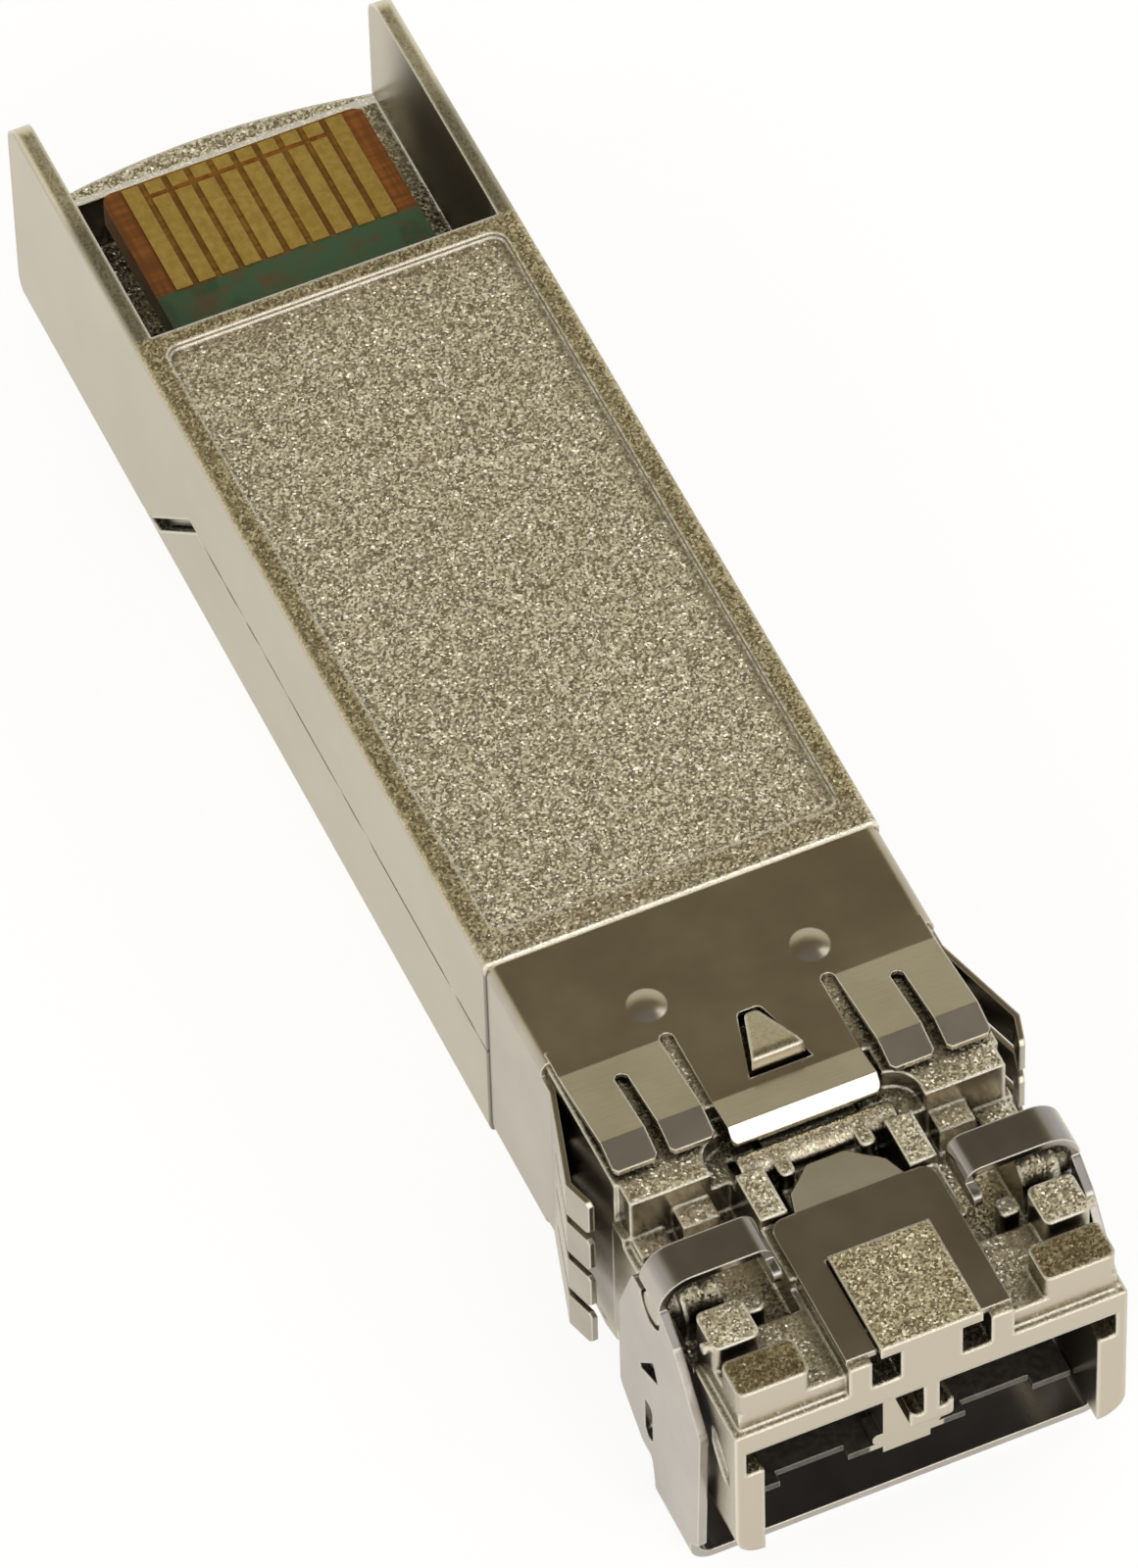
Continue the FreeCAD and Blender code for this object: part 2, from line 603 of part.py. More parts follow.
def port_cuts():
    ports = centred_box(PORT_HALF_WIDTH, NOSE_FRONT, NOSE_SOLID_REAR, -OUTSIDE, PORT_TOP)
    ears = centred_box(PORT_EAR_HALF_WIDTH, NOSE_FRONT, NOSE_FRONT + PORT_EAR_DEPTH,
                       PORT_TOP - PORT_EAR_HEIGHT, PORT_TOP)
    return [ports, ears]


def keel():
    """Inverted T that hangs from the front of the port roof between the two plugs."""
    rear = NOSE_FRONT + KEEL_DEPTH
    stem = centred_box(KEEL_STEM_HALF, NOSE_FRONT, rear, KEEL_FOOT_BOTTOM, PORT_TOP)
    foot_corners = [(-KEEL_FOOT_HALF, KEEL_FOOT_BOTTOM), (KEEL_FOOT_HALF, KEEL_FOOT_BOTTOM),
                    (KEEL_FOOT_HALF, KEEL_FOOT_TOP), (-KEEL_FOOT_HALF, KEEL_FOOT_TOP)]
    foot = prism_y(foot_corners, NOSE_FRONT, rear, KEEL_FOOT_THICK / 3)
    fluke_inner = KEEL_FOOT_HALF - KEEL_FLUKE
    fluke_low = KEEL_FOOT_BOTTOM + KEEL_FLUKE
    fluke = prism_y([(KEEL_FOOT_HALF, fluke_low), (KEEL_FOOT_HALF, KEEL_FOOT_TOP + KEEL_FLUKE),
                     (fluke_inner, KEEL_FOOT_TOP), (fluke_inner, fluke_low)], NOSE_FRONT, rear)
    return stem.fuse([foot, both_sides(fluke)])


def trunnion_lug():
    """Lug in the bail pocket with the pin that the bail arm turns on."""
    lug = box(LUG_HALF_INNER, LUG_HALF_OUTER, BAIL_PIVOT_Y - LUG_RADIUS, BAIL_PIVOT_Y + LUG_RADIUS,
              POCKET_FLOOR, BAIL_PIVOT_Z)
    crown = rod_x(LUG_RADIUS, LUG_HALF_INNER, LUG_HALF_OUTER, BAIL_PIVOT_Y, BAIL_PIVOT_Z)
    crown = crown.common(box(0, BEYOND, -BEYOND, BEYOND, BAIL_PIVOT_Z, BEYOND))
    pin = rod_x(TRUNNION_RADIUS, LUG_HALF_INNER, ARM_OUTER - FIT_GAP, BAIL_PIVOT_Y, BAIL_PIVOT_Z)
    return lug.fuse([crown, pin])


def pocket_post():
    """Small rounded post at the front of the bail pocket."""
    outer = POST_HALF_INNER + POST_SIZE
    rear = POST_FRONT + POST_SIZE
    corners = [(POST_HALF_INNER, POST_FRONT), (outer, POST_FRONT), (outer, rear), (POST_HALF_INNER, rear)]
    return prism_z(corners, POCKET_FLOOR, POST_HEIGHT, POST_SIZE / 4)


def side_dish():
    """Shallow teardrop recess in the flank of the nose."""
    low = PORT_AXIS_HEIGHT
    front = NOSE_FRONT + PORT_EAR_HEIGHT / 2
    points = [(front, low), (front + PORT_EAR_HEIGHT, low + PORT_EAR_HEIGHT),
              (front + PORT_EAR_HEIGHT, low + 2 * PORT_EAR_HEIGHT), (front, low + PORT_EAR_HEIGHT)]
    return prism_x(points, NOSE_HALF - SIDE_DISH_DEPTH, NOSE_HALF + OUTSIDE, SIDE_DISH_DEPTH)


def rear_opening():
    """Space over the card edge and the pocket under the board."""
    above = centred_box(CAVITY_HALF, OPENING_EDGE, REAR_LENGTH + OUTSIDE, SHOULDER_TOP, BEYOND)
    pocket = centred_box(CARD_EDGE_HALF + POCKET_MARGIN, OPENING_EDGE, REAR_LENGTH - RIM,
                         SHOULDER_TOP - POCKET_DEPTH, SHOULDER_TOP + OUTSIDE)
    return [above, pocket]


def rear_lip():
    """Bowed lip across the rear, between the skirts."""
    left = Vec(-CAVITY_HALF, REAR_LENGTH, SKIRT_CORNER)
    right = Vec(CAVITY_HALF, REAR_LENGTH, SKIRT_CORNER)
    bow = Part.Arc(left, Vec(0, LIP_REAR, SKIRT_CORNER), right).toShape()
    face = Part.Face(Part.Wire([bow, Part.makeLine(right, left)]))
    return face.extrude(Vec(0, 0, SHOULDER_TOP - SKIRT_CORNER))


def base_housing():
    base = body_shell().fuse(nose_block())
    cavity = centred_box(CAVITY_HALF, NOSE_SOLID_REAR, OPENING_EDGE + OUTSIDE, COVER_PLATE, ROOF_UNDERSIDE)
    cover_space = prism_x(seam_profile(0.0), -BEYOND, BEYOND)
    seam_notch = prism_x(seam_profile(0.0, SEAM_NOTCH), BODY_HALF - SEAM_NOTCH, BEYOND)
    recess_corners = [(-RECESS_HALF_WIDTH, RECESS_FRONT), (RECESS_HALF_WIDTH, RECESS_FRONT),
                      (RECESS_HALF_WIDTH, RECESS_REAR), (-RECESS_HALF_WIDTH, RECESS_REAR)]
    recess = prism_z(recess_corners, BODY_HEIGHT - RECESS_DEPTH, BEYOND, RECESS_CORNER)
    base = base.cut([cavity, cover_space, both_sides(seam_notch), recess] + rear_opening())
    base = base.cut(port_cuts() + latch_cuts())
    rib = box(CAVITY_HALF - RIB_WIDTH, CAVITY_HALF, BASE_RIB_FRONT, BASE_RIB_REAR, BOARD_TOP, ROOF_UNDERSIDE)
    base = base.fuse([both_sides(rib), both_sides(trunnion_lug()), both_sides(pocket_post())])
    base = base.fuse([keel(), rear_lip()])
    return base.cut(both_sides(side_dish())).removeSplitter()


def top_cover():
    cover = body_shell().common(prism_x(seam_profile(FIT_GAP), -BEYOND, BEYOND))
    inside = centred_box(CAVITY_HALF, -BEYOND, BEYOND, COVER_PLATE, BEYOND)
    posts = []
    for setback in COVER_POST_SETBACKS:
        front = BOARD_FRONT + setback
        post = box(CAVITY_HALF - RIB_WIDTH, CAVITY_HALF, front, front + COVER_POST_LENGTH,
                   COVER_PLATE / 2, BOARD_UNDERSIDE)
        posts.append(both_sides(post))
    return cover.cut(inside).fuse(posts).removeSplitter()


def port_insert():
    half = PORT_HALF_WIDTH - FIT_GAP
    top = PORT_TOP - FIT_GAP
    floor_under = INSERT_FLOOR_HIGH - INSERT_FLOOR_THICK
    floor = centred_box(half, INSERT_FRONT, SEAM_FRONT, floor_under, INSERT_FLOOR_HIGH)
    catch = box(PORT_X - CATCH_WIDTH / 2, PORT_X + CATCH_WIDTH / 2, INSERT_FRONT - OUTSIDE,
                INSERT_FRONT + CATCH_DEPTH, -OUTSIDE, BEYOND)
    divider = centred_box(DIVIDER_HALF, INSERT_FRONT, BULKHEAD_FRONT, INSERT_FLOOR_LOW, top)
    rib_corners = [(-DIVIDER_HALF - DIVIDER_RIB, DIVIDER_RIB_HEIGHT),
                   (DIVIDER_HALF + DIVIDER_RIB, DIVIDER_RIB_HEIGHT),
                   (DIVIDER_HALF + DIVIDER_RIB, DIVIDER_RIB_HEIGHT + DIVIDER_RIB_THICK),
                   (-DIVIDER_HALF - DIVIDER_RIB, DIVIDER_RIB_HEIGHT + DIVIDER_RIB_THICK)]
    rib = prism_y(rib_corners, INSERT_FRONT, INSERT_FRONT + DIVIDER_HALF, DIVIDER_RIB / 2)
    bulkhead = centred_box(half, BULKHEAD_FRONT, BULKHEAD_REAR, INSERT_FLOOR_LOW, top)
    hole = rod_y(BARREL_RADIUS + FIT_GAP, BULKHEAD_FRONT - OUTSIDE, BULKHEAD_REAR + OUTSIDE,
                 PORT_X, PORT_AXIS_HEIGHT)
    insert = floor.cut(both_sides(catch)).fuse([divider, rib, bulkhead])
    return insert.cut(both_sides(hole)).removeSplitter()


def finger_profile(crest, lead):
    """Side view of a spring finger: distance along the module and height over the collar."""
    return [(FINGER_ROOT + OUTSIDE, 0.0), (FINGER_ROOT, 0.0), (FINGER_CREST - lead, crest),
            (FINGER_TIP - lead, crest - FINGER_TIP_DROP)]


def comb(low, high, count, tip):
    """Plan of a row of fingers with clipped corners, as (across, along) points."""
    width = (high - low - (count - 1) * FINGER_SLOT) / count
    root = FINGER_ROOT + OUTSIDE
    clip = FINGER_CLIP
    points = [(high, root), (low, root)]
    for i in range(count):
        start = low + i * (width + FINGER_SLOT)
        end = start + width
        points += [(start, tip + clip), (start + clip, tip), (end - clip, tip), (end, tip + clip)]
        if i < count - 1:
            following = end + FINGER_SLOT
            points += [(end, FINGER_SLOT_REAR - clip), (end + clip, FINGER_SLOT_REAR),
                       (following - clip, FINGER_SLOT_REAR), (following, FINGER_SLOT_REAR - clip)]
    return points


def emi_shield():
    outer = [(-SHIELD_HALF, SHIELD_LOW), (SHIELD_HALF, SHIELD_LOW),
             (SHIELD_HALF, SHIELD_TOP), (-SHIELD_HALF, SHIELD_TOP)]
    band = prism_y(outer, SHIELD_CORNER_CUT, SHIELD_REAR, SHIELD_CORNER)
    inner = centred_box(NECK_HALF, -BEYOND, BEYOND, SHIELD_INSET, NECK_TOP)
    collar = band.cut(inner)
    for height, up in ((NECK_TOP, 1), (SHIELD_INSET, -1)):
        path = [(y, height + up * h) for y, h in finger_profile(FINGER_RISE, 0.0)]
        points = path + [(y, z + up * SHIELD_SHEET) for y, z in path[::-1]]
        finger = prism_x(points, FINGER_INNER, FINGER_OUTER)
        plan = prism_z(comb(FINGER_INNER, FINGER_OUTER, TOP_FINGERS, FINGER_TIP), -BEYOND, BEYOND)
        collar = collar.fuse(both_sides(finger.common(plan)))
    path = [(NECK_HALF + h, y) for y, h in finger_profile(SIDE_FINGER_RISE, SIDE_FINGER_LEAD)]
    points = path + [(x + SHIELD_SHEET, y) for x, y in path[::-1]]
    side = prism_z(points, SIDE_FINGER_LOW, SIDE_FINGER_HIGH)
    plan = comb(SIDE_FINGER_LOW, SIDE_FINGER_HIGH, SIDE_FINGERS, FINGER_TIP - SIDE_FINGER_LEAD)
    elevation = prism_x([(y, z) for z, y in plan], 0, BEYOND)
    collar = collar.fuse([both_sides(side.common(elevation)), both_sides(tab_web())])
    collar = collar.fuse([centre_tab(), both_sides(dimple())])
    return collar.cut(boss_outline(WINDOW_GAP, NECK_TOP - OUTSIDE, SHIELD_TOP + OUTSIDE)).removeSplitter()


def centre_tab():
    path = [(SHIELD_CORNER_CUT + OUTSIDE, NECK_TOP), (TAB_BEND, NECK_TOP), (TAB_LIP, NECK_TOP + TAB_RISE),
            (TAB_LIP_FRONT, NECK_TOP + TAB_RISE - TAB_LIP_DROP)]
    points = path + [(y, z + SHIELD_SHEET) for y, z in path[::-1]]
    plan = [(-TAB_HALF_WIDTH, TAB_LIP_FRONT), (TAB_HALF_WIDTH, TAB_LIP_FRONT),
            (TAB_HALF_WIDTH, SHIELD_REAR), (-TAB_HALF_WIDTH, SHIELD_REAR)]
    corners = prism_z(plan, -BEYOND, BEYOND, [TAB_CORNER, TAB_CORNER, 0, 0])
    return prism_x(points, -TAB_HALF_WIDTH, TAB_HALF_WIDTH).common(corners)


def tab_web():
    """Piece of the collar that closes the slot between the tab and the fingers with a round end."""
    end = (FINGER_INNER - TAB_HALF_WIDTH) / 2
    web = box(TAB_HALF_WIDTH, FINGER_INNER, TAB_SLOT_REAR - end, SHIELD_CORNER_CUT, NECK_TOP, SHIELD_TOP)
    return web.cut(Part.makeCylinder(end, BEYOND, Vec(TAB_HALF_WIDTH + end, TAB_SLOT_REAR - end, 0)))


def dimple():
    radius = (DIMPLE_RADIUS ** 2 + DIMPLE_RISE ** 2) / (2 * DIMPLE_RISE)
    ball = Part.makeSphere(radius, Vec(DIMPLE_X, DIMPLE_Y, SHIELD_TOP + DIMPLE_RISE - radius))
    return ball.common(box(0, BEYOND, -BEYOND, BEYOND, SHIELD_TOP, BEYOND))


def boss_outline(gap, z0, z1):
    """Plan of the latch boss: a blunt triangle that points to the rear, grown by a gap."""
    points = [(-BOSS_HALF_WIDTH - gap, -gap), (BOSS_HALF_WIDTH + gap, -gap),
              (BOSS_APEX_HALF + gap, BOSS_LENGTH + gap), (-BOSS_APEX_HALF - gap, BOSS_LENGTH + gap)]
    return prism_z(points, z0, z1, [0.0, 0.0, BOSS_APEX_HALF, BOSS_APEX_HALF])


def latch_lever():
    bar = rod_x(LEVER_BAR_RADIUS, -LEVER_BAR_HALF, LEVER_BAR_HALF, LEVER_PIVOT_Y, LEVER_PIVOT_Z)
    arm = centred_box(LEVER_ARM_HALF, LEVER_PIVOT_Y, LEVER_ARM_REAR, LEVER_ARM_LOW, LEVER_ARM_HIGH)
    toe = centred_box(LEVER_ARM_HALF, LEVER_TOE_FRONT, LEVER_PIVOT_Y, LEVER_TOE_LOW, LEVER_TOE_HIGH)
    lobe_corners = [(LEVER_LOBE_INNER, LEVER_LOBE_FRONT), (LEVER_ARM_HALF, LEVER_LOBE_FRONT),
                    (LEVER_ARM_HALF, LEVER_PIVOT_Y), (LEVER_LOBE_INNER, LEVER_PIVOT_Y)]
    lobe_round = (LEVER_ARM_HALF - LEVER_LOBE_INNER) / 3
    lobe = prism_z(lobe_corners, LEVER_TOE_LOW, LEVER_LOBE_TOP, [lobe_round, lobe_round, 0, 0])
    crest = BODY_HEIGHT + BOSS_HEIGHT
    wedge = prism_x([(0, LEVER_ARM_LOW), (0, BODY_HEIGHT), (BOSS_LEAN, crest), (BOSS_LEAN + BOSS_FLAT, crest),
                     (BOSS_LENGTH, BODY_HEIGHT), (BOSS_LENGTH, LEVER_ARM_LOW)], -BEYOND, BEYOND)
    boss = boss_outline(0.0, LEVER_ARM_LOW, crest).common(wedge)
    return bar.fuse([arm, toe, both_sides(lobe), boss]).removeSplitter()


def latch_spring():
    top = SPRING_SEAT + SPRING_SHEET
    front = SQUARE_REAR + FIT_GAP
    plate = prism_z([(-SPRING_HALF, front), (SPRING_HALF, front), (SPRING_HALF, SPRING_REAR),
                     (-SPRING_HALF, SPRING_REAR)], SPRING_SEAT, top, [0, 0, SPRING_CORNER, SPRING_CORNER])
    leg = box(SQUARE_HALF + FIT_GAP, SPRING_HALF, SPRING_LEG_FRONT, SQUARE_REAR + SPRING_SHEET,
              SPRING_SEAT, top)
    fold = SPRING_REAR - SPRING_SHEET
    side = prism_x([(fold, SPRING_SEAT), (SPRING_REAR, SPRING_SEAT), (TONGUE_TIP, SPRING_SEAT - TONGUE_DROP),
                    (TONGUE_TIP, top - TONGUE_DROP), (SPRING_REAR, top), (fold, top)], -BEYOND, BEYOND)
    waist = SPRING_REAR + TONGUE_SHOULDER
    corners = [(-TONGUE_ROOT_HALF, fold), (TONGUE_ROOT_HALF, fold), (TONGUE_WAIST_HALF, waist),
               (TONGUE_TIP_HALF, TONGUE_TIP), (-TONGUE_TIP_HALF, TONGUE_TIP), (-TONGUE_WAIST_HALF, waist)]
    plan = prism_z(corners, -BEYOND, BEYOND, [0, 0] + [TONGUE_ROUND] * 4)
    return plate.fuse([both_sides(leg), side.common(plan)]).removeSplitter()


def bail_strip():
    """Strap that crosses the nose: a hanging flange, a flat top and the shoulder bend."""
    path = [(ARM_OUTER, ARM_TOP - BAIL_SHEET), (ARM_OUTER, BAIL_STRIP_TOP),
            (BAIL_STRIP_HALF_INNER, BAIL_STRIP_TOP), (BAIL_STRIP_HALF_INNER, BAIL_FLANGE_LOW)]
    points, _ = sheet_outline(path, BAIL_SHEET, BAIL_FLANGE_BEND)
    shoulder = BAIL_SHOULDER_BEND + BAIL_SHEET
    lip = BAIL_FLANGE_BEND + BAIL_SHEET
    radii = [0, shoulder, lip, 0, 0, BAIL_FLANGE_BEND, BAIL_SHOULDER_BEND, 0]
    return prism_y(points, BAIL_STRIP_FRONT, BAIL_STRIP_REAR, radii)


def bail_tip():
    """Rounded cam tip that reaches forward from the foot of the flange."""
    high = (BAIL_STRIP_TOP + BAIL_FLANGE_LOW) / 2
    points = [(BAIL_STRIP_REAR, BAIL_FLANGE_LOW), (BAIL_TIP_FRONT, BAIL_FLANGE_LOW),
              (BAIL_TIP_FRONT, high), (BAIL_STRIP_REAR, high)]
    tip_round = (high - BAIL_FLANGE_LOW) / 2 - FIT_GAP
    return prism_x(points, BAIL_STRIP_HALF_INNER, BAIL_STRIP_HALF_INNER + BAIL_SHEET,
                   [0, tip_round, tip_round, 0])


def bail_arm():
    """Flat side arm from the strap down to the bend of the cross bar."""
    mouth_low = BAIL_PIVOT_Z + BAIL_NOTCH_GAP
    points = [
        (BAIL_STRIP_REAR, ARM_TOP), (BAIL_STRIP_FRONT, ARM_TOP),
        (BAIL_PIVOT_Y - ARM_NECK_REACH, BAIL_PIVOT_Z),
        (BAIL_PIVOT_Y - ARM_BELLY_REACH, BAIL_PIVOT_Z - ARM_BELLY_DROP),
        (BAIL_PIVOT_Y - ARM_CHIN_REACH, BAIL_BAR_LOW + ARM_CHIN_RISE),
        (BAIL_BAR_FRONT, ARM_FOOT), (BAIL_BAR_REAR, ARM_FOOT),
        (BAIL_PIVOT_Y + ARM_HEEL_TRAIL, BAIL_BAR_LOW + ARM_STEP_RISE),
        (BAIL_PIVOT_Y + ARM_STEP_TRAIL, BAIL_BAR_LOW + ARM_STEP_RISE),
        (BAIL_PIVOT_Y + ARM_REAR_TRAIL, BAIL_BAR_LOW + ARM_REAR_RISE),
        (BAIL_PIVOT_Y + ARM_REAR_TRAIL, BAIL_PIVOT_Z - ARM_REAR_DROP),
        (BAIL_PIVOT_Y + ARM_PRONG_TRAIL, mouth_low), (BAIL_STRIP_REAR, mouth_low),
    ]
    soft = ARM_CORNER
    return prism_x(points, ARM_INNER, ARM_OUTER,
                   [0, soft, soft, soft, soft, 0, 0, soft / 2, soft / 2, soft, soft, soft / 2, 0])


def bail_openings():
    """Snap-in notch for the trunnion, with the slot and the lanced hole below it."""
    hook = TRUNNION_RADIUS + BAIL_NOTCH_GAP
    seat = rod_x(hook, LUG_HALF_OUTER, BEYOND, BAIL_PIVOT_Y, BAIL_PIVOT_Z)
    mouth = box(LUG_HALF_OUTER, BEYOND, BAIL_PIVOT_Y, BAIL_PIVOT_Y + ARM_REAR_TRAIL,
                BAIL_PIVOT_Z + BAIL_NOTCH_GAP, BAIL_PIVOT_Z + hook)
    slot_low = BAIL_BAR_LOW + SLOT_RISE
    slot_high = slot_low + SLOT_LENGTH
    slot = prism_x([(BAIL_PIVOT_Y, slot_low), (BAIL_PIVOT_Y + SLOT_WIDTH, slot_low),
                    (BAIL_PIVOT_Y + SLOT_WIDTH, slot_high), (BAIL_PIVOT_Y, slot_high)],
                   LUG_HALF_OUTER, BEYOND, SLOT_WIDTH / 2 - FIT_GAP)
    lance_front = BAIL_PIVOT_Y - LANCE_REACH
    lance_low = BAIL_PIVOT_Z - LANCE_DROP
    lance = prism_x([(lance_front, lance_low + LANCE_SIZE / 2), (lance_front + LANCE_SIZE, lance_low),
                     (lance_front + LANCE_SIZE / 5, lance_low + LANCE_SIZE)],
                    LUG_HALF_OUTER, BEYOND, LANCE_SIZE / 16)
    return [seat, mouth, slot, lance]


def bail():
    bar_path = [(-ARM_OUTER, ARM_FOOT), (-ARM_OUTER, BAIL_BAR_LOW), (ARM_OUTER, BAIL_BAR_LOW),
                (ARM_OUTER, ARM_FOOT)]
    points, radii = sheet_outline(bar_path, BAIL_SHEET, BAIL_BAR_BEND)
    bar = prism_y(points, BAIL_BAR_FRONT, BAIL_BAR_REAR, radii)
    side = bail_arm().fuse([bail_strip(), bail_tip()]).cut(bail_openings())
    return bar.fuse([side, mirrored(side)]).removeSplitter()


def circuit_board():
    corners = [(-BOARD_HALF, BOARD_FRONT), (BOARD_HALF, BOARD_FRONT), (BOARD_HALF, CARD_EDGE_FRONT),
               (CARD_EDGE_HALF, CARD_EDGE_FRONT), (CARD_EDGE_HALF, BOARD_END), (-CARD_EDGE_HALF, BOARD_END),
               (-CARD_EDGE_HALF, CARD_EDGE_FRONT), (-BOARD_HALF, CARD_EDGE_FRONT)]
    radii = [CARD_CORNER, CARD_CORNER, CARD_CORNER, 0, CARD_CORNER, CARD_CORNER, 0, CARD_CORNER]
    return prism_z(corners, BOARD_UNDERSIDE, BOARD_TOP, radii)


def edge_contacts(low):
    """One row of gold fingers; all but the outer two have a separate leading pad."""
    rear = BOARD_END - CONTACT_END_MARGIN
    fingers = []
    for i in range(CONTACTS):
        x = (i - (CONTACTS - 1) / 2) * CONTACT_PITCH
        outer = i in (0, CONTACTS - 1)
        spans = [(CONTACT_FRONT, rear)] if outer else [
            (CONTACT_FRONT, CONTACT_SPLIT), (CONTACT_SPLIT + CONTACT_SPLIT_GAP, rear)]
        for front, back in spans:
            finger = box(x - CONTACT_WIDTH / 2, x + CONTACT_WIDTH / 2, front, back, low, low + CONTACT_PLATE)
            fingers.append(finger)
    return Part.makeCompound(fingers)


def osa_barrel(x):
    z = PORT_AXIS_HEIGHT
    barrel = rod_y(BARREL_RADIUS, BARREL_FRONT, BULKHEAD_REAR, x, z)
    flange = rod_y(FLANGE_RADIUS, BULKHEAD_REAR, BULKHEAD_REAR + FLANGE_THICK, x, z)
    body = rod_y(OSA_BODY_RADIUS, BULKHEAD_REAR, OSA_BODY_REAR, x, z)
    bore = rod_y(SLEEVE_RADIUS, BARREL_FRONT + SLEEVE_SETBACK, OSA_BODY_REAR, x, z)
    mouth = Part.makeCone(FERRULE_BORE_RADIUS + SLEEVE_SETBACK, FERRULE_BORE_RADIUS + FIT_GAP, SLEEVE_SETBACK,
                          Vec(x, BARREL_FRONT, z), Vec(0, 1, 0))
    return barrel.fuse([flange, body]).cut([bore, mouth]).removeSplitter()


def ferrule_sleeve(x):
    """Slit sleeve that lines up a plug's ferrule."""
    front = BARREL_FRONT + SLEEVE_SETBACK
    rear = front + SLEEVE_LENGTH
    tube = rod_y(SLEEVE_RADIUS, front, rear, x, PORT_AXIS_HEIGHT)
    bore = rod_y(FERRULE_BORE_RADIUS, front, rear, x, PORT_AXIS_HEIGHT)
    slit = box(x - SLEEVE_SLIT / 2, x + SLEEVE_SLIT / 2, front, rear, PORT_AXIS_HEIGHT, BEYOND)
    return tube.cut([bore, slit])


def bore_stop(x):
    """Optical piece that closes the rear of a ferrule sleeve: a fibre stub or a lens."""
    rear = BARREL_FRONT + SLEEVE_SETBACK + SLEEVE_LENGTH
    return rod_y(SLEEVE_RADIUS, rear, rear + STUB_LENGTH, x, PORT_AXIS_HEIGHT)


def osa_can(x):
    header_front = OSA_BODY_REAR + CAN_LENGTH
    can = rod_y(CAN_RADIUS, OSA_BODY_REAR, header_front, x, PORT_AXIS_HEIGHT)
    header = rod_y(HEADER_RADIUS, header_front, header_front + HEADER_THICK, x, PORT_AXIS_HEIGHT)
    return can.fuse(header).removeSplitter()


def osa_flex(x):
    """Flexible circuit from the back of a header up to the board."""
    back = OSA_BODY_REAR + CAN_LENGTH + HEADER_THICK + FLEX_THICK
    path = [(BOARD_FRONT + FLEX_LANDING, BOARD_TOP), (BOARD_FRONT - FLEX_BEND, BOARD_TOP),
            (back, BOARD_UNDERSIDE), (back, PORT_AXIS_HEIGHT - FLEX_OVERHANG)]
    points, radii = sheet_outline(path, -FLEX_THICK, FLEX_BEND)
    radii = [FLEX_BEND if r else 0.0 for r in radii]
    return prism_x(points, x - FLEX_WIDTH / 2, x + FLEX_WIDTH / 2, radii)


def osa_clamp():
    """Fork that drops over both barrels behind their flanges."""
    front = BULKHEAD_REAR + FLANGE_THICK
    plate = centred_box(PORT_HALF_WIDTH - FIT_GAP, front, front + CLAMP_THICK, COVER_PLATE + FIT_GAP,
                        PORT_TOP - FIT_GAP)
    seat = OSA_BODY_RADIUS + FIT_GAP
    hole = rod_y(seat, front - OUTSIDE, front + OUTSIDE + CLAMP_THICK, PORT_X, PORT_AXIS_HEIGHT)
    mouth = box(PORT_X - seat, PORT_X + seat, front - OUTSIDE, front + OUTSIDE + CLAMP_THICK,
                0, PORT_AXIS_HEIGHT)
    return plate.cut([both_sides(hole), both_sides(mouth)])


def chip(layout):
    setback, x, length, width, height = layout
    front = BOARD_FRONT + setback
    return box(x - width / 2, x + width / 2, front, front + length, BOARD_TOP, BOARD_TOP + height)


def chip_capacitors():
    row = []
    front = BOARD_FRONT + CAPACITOR_SETBACK
    for i in range(CAPACITORS):
        x = (i - (CAPACITORS - 1) / 2) * CAPACITOR_PITCH
        row.append(box(x - CAPACITOR_WIDTH / 2, x + CAPACITOR_WIDTH / 2, front, front + CAPACITOR_LENGTH,
                       BOARD_TOP, BOARD_TOP + CAPACITOR_WIDTH))
    return Part.makeCompound(row)


def thermal_pad():
    setback, x, length, width, height = LASER_DRIVER
    front = BOARD_FRONT + setback
    return box(x - width / 2, x + width / 2, front, front + length, BOARD_TOP + height, ROOF_UNDERSIDE)


def absorber_pad():
    return centred_box(ABSORBER_HALF, ABSORBER_FRONT, ABSORBER_FRONT + ABSORBER_LENGTH,
                       COVER_PLATE, COVER_PLATE + ABSORBER_THICK)


NODES = {
    "base_housing": base_housing(),
    "top_cover": top_cover(),
    "port_insert": port_insert(),
    "emi_shield": emi_shield(),
    "bail": bail(),
    "latch_lever": latch_lever(),
    "latch_spring": latch_spring(),
    "circuit_board": circuit_board(),
    "edge_contacts_latch_side": edge_contacts(BOARD_TOP),
    "edge_contacts_cover_side": edge_contacts(BOARD_UNDERSIDE - CONTACT_PLATE),
    "transmitter_barrel": osa_barrel(-PORT_X),
    "transmitter_sleeve": ferrule_sleeve(-PORT_X),
    "transmitter_fibre_stub": bore_stop(-PORT_X),
    "transmitter_can": osa_can(-PORT_X),
    "transmitter_flex": osa_flex(-PORT_X),
    "receiver_barrel": osa_barrel(PORT_X),
    "receiver_sleeve": ferrule_sleeve(PORT_X),
    "receiver_lens": bore_stop(PORT_X),
    "receiver_can": osa_can(PORT_X),
    "receiver_flex": osa_flex(PORT_X),
    "osa_clamp": osa_clamp(),
    "laser_driver_chip": chip(LASER_DRIVER),
    "receiver_chip": chip(RECEIVER),
    "controller_chip": chip(CONTROLLER),
    "memory_chip": chip(MEMORY),
    "chip_capacitors": chip_capacitors(),
    "thermal_pad": thermal_pad(),
    "absorber_pad": absorber_pad(),
}

